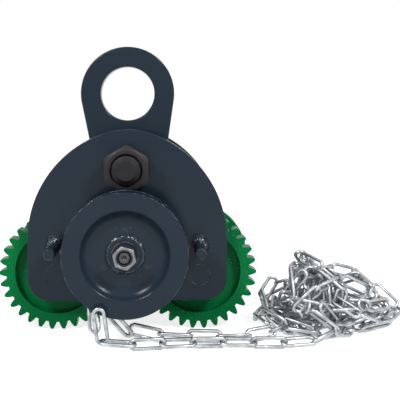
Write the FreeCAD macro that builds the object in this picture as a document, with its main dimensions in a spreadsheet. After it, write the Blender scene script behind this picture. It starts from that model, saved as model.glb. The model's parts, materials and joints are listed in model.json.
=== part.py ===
import FreeCAD, Part
import math
import os

import Sketcher

# Geared beam trolley, standing on its wheels with the load eye up. Millimetres, +Z up, +X to the right,
# the chain wheel at the -Y side. The origin is on the floor under the middle of the trolley's box.

doc = FreeCAD.newDocument("GearedBeamTrolley")
sheet = doc.addObject("Spreadsheet::Sheet", "Sizes")

driving_sizes = {
    # gears
    "gear_module": 4,
    "gear_teeth": 30,
    "pinion_teeth": 12,
    "pressure_angle": 25,
    "addendum_share": 0.9,
    "dedendum_share": 1.15,
    "tooth_thinning": 0.35,
    # side plates, heights from the axle line
    "plate_side_margin": 29.5,
    "plate_thickness": 10,
    "plate_foot_drop": 28,
    "plate_corner_radius": 24,
    "plate_shoulder_drop": 77,
    "plate_arch_margin": 14,
    "plate_apex_margin": 41.5,
    "plate_edge_radius": 1,
    "pinion_rise": 31.177,
    # wheels, axles and bearings
    "wheel_face_gap": 4,
    "wheel_flange_width": 16,
    "wheel_recess_radius": 46,
    "wheel_recess_depth": 8,
    "wheel_lip_radius": 21,
    "wheel_lip_thickness": 2,
    "wheel_edge_chamfer": 1,
    "tread_radius": 42,
    "tread_end_radius": 41,
    "tread_width": 26,
    "axle_tenon_radius": 11,
    "axle_collar_radius": 16,
    "axle_end_overhang": 2,
    "axle_end_gap": 9,
    "axle_end_chamfer": 1,
    "bearing_bore_radius": 12.5,
    "bearing_outer_radius": 26,
    "bearing_width": 15,
    "bearing_inner_wall": 3.5,
    "bearing_outer_wall": 4,
    "bearing_shield_thickness": 1,
    "bearing_shield_gap": 0.3,
    "circlip_thickness": 1.2,
    "circlip_height": 4,
    "circlip_groove_depth": 0.75,
    "retaining_ring_depth": 1,
    "retaining_ring_height": 4,
    # load shaft, nuts and eye
    "load_shaft_radius": 15,
    "load_shaft_wheel_gap": 4.823,
    "load_shaft_front_overhang": 8,
    "load_shaft_rear_overhang": 46,
    "load_shaft_chamfer": 4.8,
    "load_nut_flats": 46,
    "load_nut_height": 24,
    "load_nut_chamfer": 2,
    "plate_bore_gap": 0.05,
    "eye_thickness": 18,
    "eye_hole_radius": 31,
    "eye_head_radius": 54,
    "eye_foot_radius": 40,
    "eye_reach": 82.5,
    "eye_lean": 1.7,
    "eye_edge_radius": 2,
    "eye_bore_gap": 0.08,
    "eye_side_gap": 0.3,
    "spacer_radius": 22,
    # chain wheel and its drive
    "chain_wheel_radius": 64,
    "chain_wheel_width": 24,
    "chain_wheel_nut_gap": 2,
    "disc_thickness": 3,
    "rim_inner_radius": 48,
    "centre_flat_radius": 31,
    "rim_edge_radius": 4,
    "groove_radius": 27,
    "pinion_width": 15,
    "pinion_shoulder_radius": 14,
    "pinion_side_gap": 0.5,
    "pinion_shaft_radius": 10,
    "sleeve_radius": 18,
    "bush_wall": 3,
    "bush_length": 12,
    "bush_running_gap": 0.05,
    "hub_bore_radius": 9,
    "hub_neck_radius": 12,
    "hub_flange_radius": 18,
    "hub_flange_thickness": 3,
    "hub_back_thickness": 1,
    "hub_seat_relief": 0.5,
    "sleeve_end_gap": 0.3,
    "key_width": 5,
    "key_height": 4,
    "key_depth_in_shaft": 2.5,
    "hub_washer_radius": 14,
    "hub_washer_thickness": 2.5,
    "hub_thread_radius": 7,
    "hub_nut_flats": 22,
    "hub_nut_height": 14,
    "hub_nut_chamfer": 1.2,
    "insert_seat_radius": 8.2,
    "insert_seat_depth": 5,
    "insert_inset": 2,
    "thread_end_inset": 3.5,
    "plug_weld_radius": 4,
    "plug_weld_height": 1,
    "plug_weld_circle": 25,
    "plug_weld_count": 3,
    # chain guides and weld beads
    "guide_radius": 6,
    "guide_length": 42,
    "guide_end_chamfer": 1,
    "guide_wheel_gap": 7,
    "guide_weld_leg": 4.5,
    "sleeve_weld_leg": 4,
    "hub_weld_leg": 3,
    # hand chain
    "chain_wire_radius": 2,
    "chain_pitch": 31,
    "chain_link_width": 15,
    "chain_slack": 2.2,
    "upright_link_rise": 1.1,
    "chain_rim_gap": 0.3,
    "chain_seat_radius": 50.8,
    "wrapped_links": 10,
    "wrap_start_angle": 250,
    "heap_centre_across": 218,
    "heap_centre_back": 15,
    "heap_half_width": 78,
    "heap_half_depth": 62,
    "heap_height": 78,
    "heap_wall": 3,
    "heap_strand_gap": 0.3,
    # shared overrun of all cutting shapes
    "cut_overrun": 2,
}
for row, (alias, number) in enumerate(driving_sizes.items(), start=1):
    sheet.set(f"A{row}", alias)
    sheet.set(f"B{row}", str(number))
    sheet.setAlias(f"B{row}", alias)
doc.recompute()


class Size:
    """A number together with the sheet expression that it comes from."""

    def __init__(self, number, words):
        self.number = number
        self.words = words

    def joined(self, sign, number, other):
        return Size(number, f"({self.words} {sign} {other.words})")

    def __add__(self, other):
        other = sized(other)
        return self.joined("+", self.number + other.number, other)

    def __sub__(self, other):
        other = sized(other)
        return self.joined("-", self.number - other.number, other)

    def __mul__(self, other):
        other = sized(other)
        return self.joined("*", self.number * other.number, other)

    def __truediv__(self, other):
        other = sized(other)
        return self.joined("/", self.number / other.number, other)

    def __neg__(self):
        return Size(-self.number, f"(-{self.words})")

    def root(self):
        return Size(math.sqrt(self.number), f"sqrt({self.words})")


def sized(value):
    return value if isinstance(value, Size) else Size(value, repr(value))


class Sheet:
    """The sheet's sizes as attributes."""

    def __getattr__(self, alias):
        return Size(float(sheet.get(alias)), f"Sizes.{alias}")


s = Sheet()
nothing = sized(0)
sub_parts = []


def bind(item, name, size):
    item.setExpression(name, sized(size).words)


def place(item, x=nothing, y=nothing, z=nothing, axis=None, angle=0):
    """Puts an item at its place, turned by angle about axis, with the place bound to the sheet."""
    if axis is not None:
        item.Placement = FreeCAD.Placement(FreeCAD.Vector(), FreeCAD.Rotation(axis, angle))
    for letter, size in (("x", x), ("y", y), ("z", z)):
        if sized(size).number != 0:
            bind(item, f"Placement.Base.{letter}", size)
    return item


def keep(item, label):
    item.Label = label
    sub_parts.append(item)
    return item


# Sketches


def sketch_on(body, name, role):
    sketch = body.newObject("Sketcher::SketchObject", name)
    plane = [feature for feature in body.Origin.OriginFeatures if feature.Role == role][0]
    sketch.AttachmentSupport = [(plane, "")]
    sketch.MapMode = "FlatFace"
    return sketch


def pin(sketch, item, end, across, up):
    """Holds one point of a sketch item at its place across and up from the origin."""
    for kind, size, axis in (("DistanceX", across, -2), ("DistanceY", up, -1)):
        if sized(size).number == 0:
            sketch.addConstraint(Sketcher.Constraint("PointOnObject", item, end, axis))
            continue
        index = sketch.addConstraint(Sketcher.Constraint(kind, -1, 1, item, end, size.number))
        bind(sketch, f"Constraints[{index}]", size)


def arc_between(start, end, radius, hollow):
    """The short arc from start to end. It bulges to the right of the way, or to the left if hollow."""
    way = end - start
    side = FreeCAD.Vector(-way.y, way.x, 0).normalize() * (-1 if hollow else 1)
    rise = math.sqrt(max(radius**2 - (way.Length / 2) ** 2, 0))
    centre = start + way / 2 + side * rise
    first, last = (end, start) if hollow else (start, end)
    angles = [math.atan2((point - centre).y, (point - centre).x) for point in (first, last)]
    return Part.ArcOfCircle(Part.Circle(centre, FreeCAD.Vector(0, 0, 1), radius), *angles)


def outline(sketch, corners):
    """A closed outline. A corner is (across, up), with an arc radius and hollow for the stretch after it."""
    first = sketch.GeometryCount
    count = len(corners)
    points = [FreeCAD.Vector(sized(c[0]).number, sized(c[1]).number, 0) for c in corners]
    ends = []
    for n, corner in enumerate(corners):
        start, end = points[n], points[(n + 1) % count]
        hollow = len(corner) > 3
        if len(corner) == 2:
            sketch.addGeometry(Part.LineSegment(start, end), False)
        else:
            sketch.addGeometry(arc_between(start, end, corner[2].number, hollow), False)
        ends.append((2, 1) if hollow else (1, 2))
    for n, corner in enumerate(corners):
        after = (n + 1) % count
        joint = Sketcher.Constraint("Coincident", first + n, ends[n][1], first + after, ends[after][0])
        sketch.addConstraint(joint)
        pin(sketch, first + n, ends[n][0], corner[0], corner[1])
        if len(corner) > 2:
            index = sketch.addConstraint(Sketcher.Constraint("Radius", first + n, corner[2].number))
            bind(sketch, f"Constraints[{index}]", corner[2])


def hole(sketch, across, up, radius):
    centre = FreeCAD.Vector(sized(across).number, sized(up).number, 0)
    circle = Part.Circle(centre, FreeCAD.Vector(0, 0, 1), radius.number)
    item = sketch.addGeometry(circle, False)
    pin(sketch, item, 3, across, up)
    index = sketch.addConstraint(Sketcher.Constraint("Radius", item, radius.number))
    bind(sketch, f"Constraints[{index}]", radius)


# Features


def turned(name, corners, body=None, kind="Revolution"):
    """A turned piece about the Y axis. A corner is (radius, place along Y)."""
    body = body or doc.addObject("PartDesign::Body", name)
    sketch = sketch_on(body, f"{name}_{kind.lower()}_profile", "XY_Plane")
    outline(sketch, corners)
    feature = body.newObject(f"PartDesign::{kind}", f"{name}_{kind.lower()}")
    feature.Profile = sketch
    feature.ReferenceAxis = (sketch, ["V_Axis"])
    feature.Angle = 360
    return body


def flat(name, corners, holes, thickness):
    """A flat piece in the XZ plane that grows towards +Y."""
    body = doc.addObject("PartDesign::Body", name)
    sketch = sketch_on(body, f"{name}_outline", "XZ_Plane")
    outline(sketch, corners)
    for across, up, radius in holes:
        hole(sketch, across, up, radius)
    pad = body.newObject("PartDesign::Pad", f"{name}_pad")
    pad.Profile = sketch
    bind(pad, "Length", thickness)
    pad.Reversed = True
    return body


def soften(body, radius, chosen):
    """Rounds the edges of the body's last feature that the test picks."""
    doc.recompute()
    base = body.Tip
    names = [f"Edge{n}" for n, edge in enumerate(base.Shape.Edges, start=1) if chosen(edge)]
    fillet = body.newObject("PartDesign::Fillet", f"{body.Name}_edges")
    fillet.Base = (base, names)
    bind(fillet, "Radius", radius)
    return body


def ring(name, inner, outer, start, end):
    return turned(name, [(inner, start), (outer, start), (outer, end), (inner, end)])


def bead(name, radius, leg, start):
    """A fillet weld round a rod that stands on a face."""
    return turned(name, [(radius, start), (radius + leg, start), (radius, start + leg)])


def group(name, shapes):
    item = doc.addObject("Part::Feature", name)
    item.Shape = Part.makeCompound(shapes)
    return item


# Places that several pieces share
y_axis = FreeCAD.Vector(0, 1, 0)
z_axis = FreeCAD.Vector(0, 0, 1)
addendum = s.gear_module * s.addendum_share
dedendum = s.gear_module * s.dedendum_share
gear_pitch_radius = s.gear_module * s.gear_teeth / 2
pinion_pitch_radius = s.gear_module * s.pinion_teeth / 2
gear_tip_radius = gear_pitch_radius + addendum
pinion_tip_radius = pinion_pitch_radius + addendum
centre_distance = gear_pitch_radius + pinion_pitch_radius
axle_half_spacing = (centre_distance * centre_distance - s.pinion_rise * s.pinion_rise).root()
load_height = s.pinion_rise + s.chain_wheel_radius + s.load_shaft_radius + s.load_shaft_wheel_gap

axle_z = gear_tip_radius
pinion_z = axle_z + s.pinion_rise
load_z = axle_z + load_height

wheel_reach = s.wheel_face_gap + s.wheel_flange_width + s.tread_width + s.axle_end_overhang
plate_gap = wheel_reach * 2 + s.axle_end_gap
chain_wheel_clearance = s.load_nut_height + s.chain_wheel_nut_gap
wheel_middle = chain_wheel_clearance + s.chain_wheel_width / 2
wheel_outer = chain_wheel_clearance + s.chain_wheel_width
hub_back = wheel_middle - s.disc_thickness - s.hub_back_thickness
hub_front = wheel_middle + s.disc_thickness + s.hub_flange_thickness
washer_front = hub_front + s.hub_washer_thickness
nut_front = washer_front + s.hub_nut_height
trolley_depth = plate_gap + s.plate_thickness * 2
rear_reach = trolley_depth + s.load_nut_height + s.load_shaft_rear_overhang
front_y = (nut_front - rear_reach) / 2
front_inner_y = front_y + s.plate_thickness
rear_inner_y = front_inner_y + plate_gap
rear_y = rear_inner_y + s.plate_thickness
middle_y = front_inner_y + plate_gap / 2


# Side plates


def side_plate(label, face_y, holes):
    half = axle_half_spacing + s.plate_side_margin
    foot = -s.plate_foot_drop
    corner = s.plate_corner_radius
    shoulder = load_height - s.plate_shoulder_drop
    offset = s.plate_arch_margin
    span = s.plate_apex_margin
    arch = half + offset
    apex = arch - span
    apex_z = shoulder + (span * span - offset * offset).root()
    meet_x = apex * offset / span
    meet_z = apex_z + apex * (apex_z - shoulder) / span
    axle_places = (-axle_half_spacing, axle_half_spacing)
    axle_holes = [(axle_x, nothing, s.axle_tenon_radius) for axle_x in axle_places]
    body = flat(
        label,
        [
            (corner - half, foot),
            (half - corner, foot, corner),
            (half, foot + corner),
            (half, shoulder, arch),
            (meet_x, meet_z, apex),
            (-meet_x, meet_z, arch),
            (-half, shoulder),
            (-half, foot + corner, corner),
        ],
        axle_holes + holes,
        s.plate_thickness,
    )

    def outer_edge(edge):
        return edge.BoundBox.YLength < s.cut_overrun.number and not edge.isClosed()

    soften(body, s.plate_edge_radius, outer_edge)
    return keep(place(body, y=face_y, z=axle_z), label)


load_hole = (nothing, load_height, s.load_shaft_radius + s.plate_bore_gap)
side_plate("front_side_plate", front_y, [load_hole, (nothing, s.pinion_rise, s.sleeve_radius)])
side_plate("rear_side_plate", rear_inner_y, [load_hole])


# Load shaft, nuts, spacers and eye


def hexagon(flats):
    half = flats / 2
    low = flats / (sized(3).root() * 2)
    return [(half, -low), (half, low), (nothing, low * 2), (-half, low), (-half, -low), (nothing, -low * 2)]


def hex_nut(label, flats, bore, height, chamfer):
    """A hex nut with both ends chamfered, standing along +Y."""
    body = flat(label, hexagon(flats), [(nothing, nothing, bore)], height)
    corner = flats / sized(3).root()
    out = corner + s.cut_overrun
    drop = (out - flats / 2) * chamfer / (corner - flats / 2)
    turned(f"{label}_near", [(flats / 2, nothing), (out, nothing), (out, drop)], body, "Groove")
    turned(f"{label}_far", [(flats / 2, height), (out, height - drop), (out, height)], body, "Groove")
    return body


shaft_length = s.load_shaft_front_overhang + s.load_nut_height + rear_reach
shaft = turned(
    "load_shaft",
    [
        (nothing, nothing),
        (s.load_shaft_radius - s.load_shaft_chamfer, nothing),
        (s.load_shaft_radius, s.load_shaft_chamfer),
        (s.load_shaft_radius, shaft_length - s.load_shaft_chamfer),
        (s.load_shaft_radius - s.load_shaft_chamfer, shaft_length),
        (nothing, shaft_length),
    ],
)
shaft_y = front_y - s.load_nut_height - s.load_shaft_front_overhang
keep(place(shaft, y=shaft_y, z=load_z), "load_shaft")

load_nuts = {
    "front_outer_load_nut": front_y - s.load_nut_height,
    "front_inner_load_nut": front_inner_y,
    "rear_inner_load_nut": rear_inner_y - s.load_nut_height,
    "rear_outer_load_nut": rear_y,
}
for label, nut_y in load_nuts.items():
    bore = s.load_shaft_radius + s.plate_bore_gap
    nut = hex_nut(label, s.load_nut_flats, bore, s.load_nut_height, s.load_nut_chamfer)
    keep(place(nut, y=nut_y, z=load_z), label)

eye_front_y = middle_y - s.eye_thickness / 2
eye_back_y = middle_y + s.eye_thickness / 2
front_spacer_y = front_inner_y + s.load_nut_height
spacer_length = eye_front_y - s.eye_side_gap - front_spacer_y
spacers = {"front_spacer_sleeve": front_spacer_y, "rear_spacer_sleeve": eye_back_y + s.eye_side_gap}
for label, spacer_y in spacers.items():
    spacer = ring(label, s.load_shaft_radius, s.spacer_radius, nothing, spacer_length)
    keep(place(spacer, y=spacer_y, z=load_z), label)


def load_eye():
    """A flat eye whose two round ends are joined by their outer tangents."""
    head = s.eye_head_radius
    foot = s.eye_foot_radius
    reach = s.eye_reach
    slope = (head - foot) / reach
    level = (sized(1) - slope * slope).root()
    body = flat(
        "load_eye",
        [
            (nothing, -foot, foot),
            (foot * level, -foot * slope),
            (head * level, reach - head * slope, head),
            (nothing, reach + head, head),
            (-head * level, reach - head * slope),
            (-foot * level, -foot * slope, foot),
        ],
        [
            (nothing, nothing, s.load_shaft_radius + s.eye_bore_gap),
            (nothing, reach, s.eye_hole_radius),
        ],
        s.eye_thickness,
    )
    bore_top = s.load_shaft_radius.number + s.cut_overrun.number

    def round_edge(edge):
        flat_edge = edge.BoundBox.YLength < s.cut_overrun.number
        return flat_edge and not (edge.isClosed() and edge.BoundBox.ZMax < bore_top)

    return soften(body, s.eye_edge_radius, round_edge)


eye = place(load_eye(), y=eye_front_y, z=load_z, axis=y_axis, angle=-s.eye_lean.number)
keep(eye, "load_eye")


# Gear teeth


def involute(angle):
    return math.tan(angle) - angle


def tooth_gaps(name, teeth, pitch_radius, width, phase):
    """The spaces between a gear's teeth as solids along +Y, with one of them at the phase angle."""
    pitch = pitch_radius.number
    tip = pitch + addendum.number
    root = pitch - dedendum.number
    pressure = math.radians(s.pressure_angle.number)
    base = pitch * math.cos(pressure)
    thickness = math.pi * s.gear_module.number / 2 - s.tooth_thinning.number
    step = 2 * math.pi / teeth

    def half_gap(radius):
        working = math.acos(min(base / radius, 1))
        half_tooth = thickness / (2 * pitch) + involute(pressure) - involute(working)
        return step / 2 - half_tooth

    def point(radius, angle):
        return FreeCAD.Vector(radius * math.cos(angle), 0, radius * math.sin(angle))

    flank_shares = (0, 0.2, 0.45, 0.72, 1)
    start = max(root, base)
    end = tip + s.cut_overrun.number
    radii = [start + (end - start) * share for share in flank_shares]
    first_angle = math.radians(phase)
    flank = Part.BSplineCurve()
    flank.interpolate([point(radius, first_angle + half_gap(radius)) for radius in radii])
    other = Part.BSplineCurve()
    other.interpolate([point(radius, first_angle - half_gap(radius)) for radius in radii])
    root_angle = half_gap(start)
    edges = [flank.toShape(), other.toShape()]
    floor_ends = [point(root, first_angle + root_angle), point(root, first_angle - root_angle)]
    edges.append(Part.Arc(floor_ends[0], point(root, first_angle), floor_ends[1]).toShape())
    if start > root:
        for end_point, curve in zip(floor_ends, (flank, other)):
            edges.append(Part.LineSegment(end_point, curve.StartPoint).toShape())
    edges.append(Part.LineSegment(flank.EndPoint, other.EndPoint).toShape())
    face = Part.Face(Part.Wire(Part.__sortEdges__(edges)))
    solid = face.extrude(FreeCAD.Vector(0, width.number, 0))
    gaps = []
    for number in range(teeth):
        copy = solid.copy()
        copy.rotate(FreeCAD.Vector(), FreeCAD.Vector(0, 1, 0), math.degrees(step) * number)
        gaps.append(copy)
    return group(name, gaps)


def cut_from(name, blank, tool):
    cut = doc.addObject("Part::Cut", name)
    cut.Base = blank
    cut.Tool = tool
    return cut


# The pinion has a tooth straight up. Its teeth are mirrored about the middle, so both gears mesh with it.
straight_up = 90
half_turn = 180
pinion_teeth = round(s.pinion_teeth.number)
gear_teeth = round(s.gear_teeth.number)
pinion_step = 2 * half_turn / pinion_teeth
mesh_angle = -math.degrees(math.asin(s.pinion_rise.number / centre_distance.number))
tooth_offset = (straight_up - mesh_angle) % pinion_step
gear_gap_angle = half_turn + mesh_angle - tooth_offset * pinion_teeth / gear_teeth


# Wheels on their axles. Places along Y are from the outer face of the plate towards the beam.
wheel_front = s.plate_thickness + s.wheel_face_gap
flange_end = wheel_front + s.wheel_flange_width
tread_end = flange_end + s.tread_width
recess_floor = wheel_front + s.wheel_recess_depth
bearing_start = recess_floor + s.wheel_lip_thickness
bearing_middle = bearing_start + s.bearing_width
bearing_end = bearing_middle + s.bearing_width
axle_end = tread_end + s.axle_end_overhang


def wheel_blank(name):
    edge = s.wheel_edge_chamfer
    bore = s.bearing_outer_radius
    groove = bore + s.retaining_ring_depth
    return turned(
        name,
        [
            (s.wheel_lip_radius, recess_floor),
            (s.wheel_recess_radius, recess_floor),
            (s.wheel_recess_radius, wheel_front),
            (gear_tip_radius - edge, wheel_front),
            (gear_tip_radius, wheel_front + edge),
            (gear_tip_radius, flange_end - edge),
            (gear_tip_radius - edge, flange_end),
            (s.tread_radius, flange_end),
            (s.tread_end_radius, tread_end - edge),
            (s.tread_end_radius - edge, tread_end),
            (bore, tread_end),
            (bore, bearing_end + s.circlip_thickness),
            (groove, bearing_end + s.circlip_thickness),
            (groove, bearing_end),
            (bore, bearing_end),
            (bore, bearing_start),
            (s.wheel_lip_radius, bearing_start),
        ],
    )


def axle(name):
    seat = s.bearing_bore_radius
    groove = seat - s.circlip_groove_depth
    edge = s.axle_end_chamfer
    return turned(
        name,
        [
            (nothing, nothing),
            (s.axle_tenon_radius, nothing),
            (s.axle_tenon_radius, s.plate_thickness),
            (s.axle_collar_radius, s.plate_thickness),
            (s.axle_collar_radius, bearing_start),
            (seat, bearing_start),
            (seat, bearing_end),
            (groove, bearing_end),
            (groove, bearing_end + s.circlip_thickness),
            (seat, bearing_end + s.circlip_thickness),
            (seat, axle_end - edge),
            (seat - edge, axle_end),
            (nothing, axle_end),
        ],
    )


def bearing_rings(name, outer):
    """The two inner or outer rings of a wheel's bearings, side by side. The outer rings carry the shields."""
    inner_radius = s.bearing_bore_radius + s.bearing_inner_wall
    race = s.bearing_outer_radius - s.bearing_outer_wall
    lip = inner_radius + s.bearing_shield_gap
    shield = s.bearing_shield_thickness
    shapes = []
    for number, start in enumerate((bearing_start, bearing_middle)):
        end = start + s.bearing_width
        corners = [(lip, start), (s.bearing_outer_radius, start), (s.bearing_outer_radius, end), (lip, end)]
        corners += [(lip, end - shield), (race, end - shield), (race, start + shield), (lip, start + shield)]
        if not outer:
            bore = s.bearing_bore_radius
            corners = [(bore, start), (inner_radius, start), (inner_radius, end), (bore, end)]
        shapes.append(turned(f"{name}_{number}", corners))
    doc.recompute()
    compound = doc.addObject("Part::Compound", name)
    compound.Links = shapes
    return compound


wheels = {
    "left_geared": (-axle_half_spacing, front_y, 0),
    "right_geared": (axle_half_spacing, front_y, 0),
    "left_plain": (-axle_half_spacing, rear_y, half_turn),
    "right_plain": (axle_half_spacing, rear_y, half_turn),
}
clip_end = bearing_end + s.circlip_thickness
clip_inner = s.bearing_bore_radius - s.circlip_groove_depth
clip_outer = clip_inner + s.circlip_height
retainer_outer = s.bearing_outer_radius + s.retaining_ring_depth
retainer_inner = retainer_outer - s.retaining_ring_height
gap_angles = {"left_geared": half_turn - gear_gap_angle, "right_geared": gear_gap_angle}
for side, (wheel_x, plate_y, turn) in wheels.items():
    if side in gap_angles:
        gaps = tooth_gaps(f"{side}_gaps", gear_teeth, gear_pitch_radius, flange_end, gap_angles[side])
        wheel = cut_from(f"{side}_wheel", wheel_blank(f"{side}_blank"), gaps)
    else:
        wheel = wheel_blank(f"{side}_wheel")
    pieces = [
        wheel,
        axle(f"{side}_axle"),
        bearing_rings(f"{side}_bearing_inner_rings", False),
        bearing_rings(f"{side}_bearing_outer_rings", True),
        ring(f"{side}_axle_circlip", clip_inner, clip_outer, bearing_end, clip_end),
        ring(f"{side}_retaining_ring", retainer_inner, retainer_outer, bearing_end, clip_end),
    ]
    for piece in pieces:
        keep(place(piece, wheel_x, plate_y, axle_z, z_axis, turn), piece.Name)


# Pinion drive. Places along Y are from the front face of the plate towards the chain wheel.


def outward(item, label, x=nothing, z=pinion_z):
    return keep(place(item, x, front_y, z, z_axis, half_turn), label)


sleeve_end = hub_back - s.sleeve_end_gap
bush_outer = s.pinion_shaft_radius + s.bush_running_gap + s.bush_wall
bush_inner = s.pinion_shaft_radius + s.bush_running_gap
sleeve = ring("pinion_sleeve", bush_outer, s.sleeve_radius, nothing, sleeve_end + s.plate_thickness)
keep(place(sleeve, y=front_inner_y, z=pinion_z, axis=z_axis, angle=half_turn), "pinion_sleeve")
inner_bush = ring("pinion_inner_bush", bush_inner, bush_outer, nothing, s.bush_length)
keep(place(inner_bush, y=front_inner_y, z=pinion_z, axis=z_axis, angle=half_turn), "pinion_inner_bush")
outer_bush = ring("pinion_outer_bush", bush_inner, bush_outer, sleeve_end - s.bush_length, sleeve_end)
outward(outer_bush, "pinion_outer_bush")
outward(bead("pinion_sleeve_weld", s.sleeve_radius, s.sleeve_weld_leg, nothing), "pinion_sleeve_weld")

# The pinion and its shaft are one forging, described from its end inside the trolley outwards.
shoulder_length = s.wheel_face_gap + s.pinion_side_gap
pinion_start = s.plate_thickness + shoulder_length + s.pinion_width
thread_end = nut_front - s.thread_end_inset
pinion_blank = turned(
    "drive_pinion_blank",
    [
        (nothing, nothing),
        (pinion_tip_radius, nothing),
        (pinion_tip_radius, s.pinion_width),
        (s.pinion_shoulder_radius, s.pinion_width),
        (s.pinion_shoulder_radius, s.pinion_width + shoulder_length - s.pinion_side_gap),
        (s.pinion_shaft_radius, s.pinion_width + shoulder_length - s.pinion_side_gap),
        (s.pinion_shaft_radius, pinion_start + hub_back),
        (s.hub_bore_radius, pinion_start + hub_back),
        (s.hub_bore_radius, pinion_start + hub_front - s.hub_seat_relief),
        (s.hub_thread_radius, pinion_start + hub_front - s.hub_seat_relief),
        (s.hub_thread_radius, pinion_start + thread_end),
        (nothing, pinion_start + thread_end),
    ],
)
first_gap = straight_up + pinion_step / 2
pinion_gaps = tooth_gaps("drive_pinion_gaps", pinion_teeth, pinion_pitch_radius, s.pinion_width, first_gap)
key_start = hub_back + s.hub_back_thickness
key_length = hub_front - s.hub_flange_thickness - key_start


def key_box(name, start):
    """The key stands on the upper side of the shaft, half in the shaft and half in the hub."""
    box = doc.addObject("Part::Box", name)
    bind(box, "Length", s.key_width)
    bind(box, "Width", key_length)
    bind(box, "Height", s.key_height)
    place(box, -s.key_width / 2, start, s.hub_bore_radius - s.key_depth_in_shaft)
    return box


pinion_keyway = key_box("pinion_keyway", pinion_start + key_start)
pinion_keyed = cut_from("drive_pinion_keyed", pinion_blank, pinion_keyway)
pinion = cut_from("drive_pinion", pinion_keyed, pinion_gaps)
place(pinion, y=front_y + pinion_start, z=pinion_z, axis=z_axis, angle=half_turn)
keep(pinion, "drive_pinion")

hub_blank = turned(
    "chain_wheel_hub_blank",
    [
        (s.hub_bore_radius, hub_back),
        (s.hub_neck_radius + s.disc_thickness, hub_back),
        (s.hub_neck_radius + s.disc_thickness, hub_back + s.hub_back_thickness),
        (s.hub_neck_radius, hub_back + s.hub_back_thickness),
        (s.hub_neck_radius, hub_front - s.hub_flange_thickness),
        (s.hub_flange_radius, hub_front - s.hub_flange_thickness),
        (s.hub_flange_radius, hub_front),
        (s.hub_bore_radius, hub_front),
    ],
)
hub = cut_from("chain_wheel_hub", hub_blank, key_box("hub_keyway", key_start))
outward(hub, "chain_wheel_hub")
key = doc.addObject("Part::Compound", "hub_key")
key.Links = [key_box("hub_key_bar", key_start)]
outward(key, "hub_key")


def chain_disc(name, rim_out, middle, inward):
    """A disc, dished from its rounded rim edge to a flat centre. The two discs stand back to back."""
    rim, flat_radius, thick = s.rim_inner_radius, s.centre_flat_radius, s.disc_thickness
    outer_face, inner_face = rim_out, rim_out - thick * inward
    centre_face, joint_face = middle + thick * inward, middle
    span, depth = rim - flat_radius, s.chain_wheel_width / 2 - thick
    both_radii = (span * span + depth * depth) / (depth * 2)
    edge = s.rim_edge_radius
    edge_share = edge / both_radii
    bend = (rim - span * edge_share, outer_face - depth * edge_share * inward, both_radii - edge, "hollow")
    corners = [
        (s.hub_neck_radius, joint_face),
        (flat_radius, joint_face, s.groove_radius),
        (rim + thick, inner_face),
        (s.chain_wheel_radius, inner_face),
        (s.chain_wheel_radius, outer_face),
        (rim, outer_face, edge),
        bend,
        (flat_radius, centre_face),
        (s.hub_neck_radius, centre_face),
    ]
    return turned(name, corners if inward > 0 else walked_back(corners))


def walked_back(corners):
    """A mirrored outline, walked the other way so that its arcs bulge as before."""
    befores = corners[-2::-1] + corners[-1:]
    return [corner[:2] + before[2:] for corner, before in zip(reversed(corners), befores)]


front_disc = chain_disc("chain_wheel_front_disc", wheel_outer, wheel_middle, 1)
outward(front_disc, "chain_wheel_front_disc")
rear_disc = chain_disc("chain_wheel_rear_disc", chain_wheel_clearance, wheel_middle, -1)
outward(rear_disc, "chain_wheel_rear_disc")
disc_face = wheel_middle + s.disc_thickness
outward(bead("hub_weld", s.hub_flange_radius, s.hub_weld_leg, disc_face), "hub_weld")

plug_welds = doc.addObject("Part::Compound", "centre_plug_welds")
plugs = []
for number in range(round(s.plug_weld_count.number)):
    angle = 2 * math.pi * number / s.plug_weld_count.number + math.pi / 2
    top = s.plug_weld_radius / 2
    corners = [(nothing, nothing), (s.plug_weld_radius, nothing), (top, s.plug_weld_height)]
    plug = turned(f"plug_weld_{number}", corners + [(nothing, s.plug_weld_height)])
    across, up = s.plug_weld_circle * math.cos(angle), s.plug_weld_circle * math.sin(angle)
    plugs.append(place(plug, across, disc_face, up))
plug_welds.Links = plugs
outward(plug_welds, "centre_plug_welds")

washer = ring("hub_washer", s.hub_thread_radius, s.hub_washer_radius, hub_front, washer_front)
outward(washer, "hub_washer")
lock_nut = hex_nut("hub_lock_nut", s.hub_nut_flats, s.hub_thread_radius, s.hub_nut_height, s.hub_nut_chamfer)
seat_floor = s.hub_nut_height - s.insert_seat_depth
insert_seat = [(s.hub_thread_radius, seat_floor), (s.insert_seat_radius, seat_floor)]
insert_seat += [(s.insert_seat_radius, s.hub_nut_height), (s.hub_thread_radius, s.hub_nut_height)]
turned("insert_seat", insert_seat, lock_nut, "Groove")
keep(place(lock_nut, y=front_y - washer_front, z=pinion_z, axis=z_axis, angle=half_turn), "hub_lock_nut")
insert_back = nut_front - s.insert_seat_depth
insert_front = nut_front - s.insert_inset
insert = ring("lock_nut_insert", s.hub_thread_radius, s.insert_seat_radius, insert_back, insert_front)
outward(insert, "lock_nut_insert")


# Chain guides at the two sides of the chain wheel
guide_half_spacing = s.chain_wheel_radius + s.guide_wheel_gap + s.guide_radius
for side, guide_x in (("left", -guide_half_spacing), ("right", guide_half_spacing)):
    edge = s.guide_end_chamfer
    corners = [(nothing, nothing), (s.guide_radius, nothing), (s.guide_radius, s.guide_length - edge)]
    corners += [(s.guide_radius - edge, s.guide_length), (nothing, s.guide_length)]
    outward(turned(f"{side}_chain_guide", corners), f"{side}_chain_guide", guide_x)
    weld = bead(f"{side}_chain_guide_weld", s.guide_radius, s.guide_weld_leg, nothing)
    outward(weld, f"{side}_chain_guide_weld", guide_x)


# Hand chain: links in the chain wheel's groove, two strands along the floor and the heap


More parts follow.
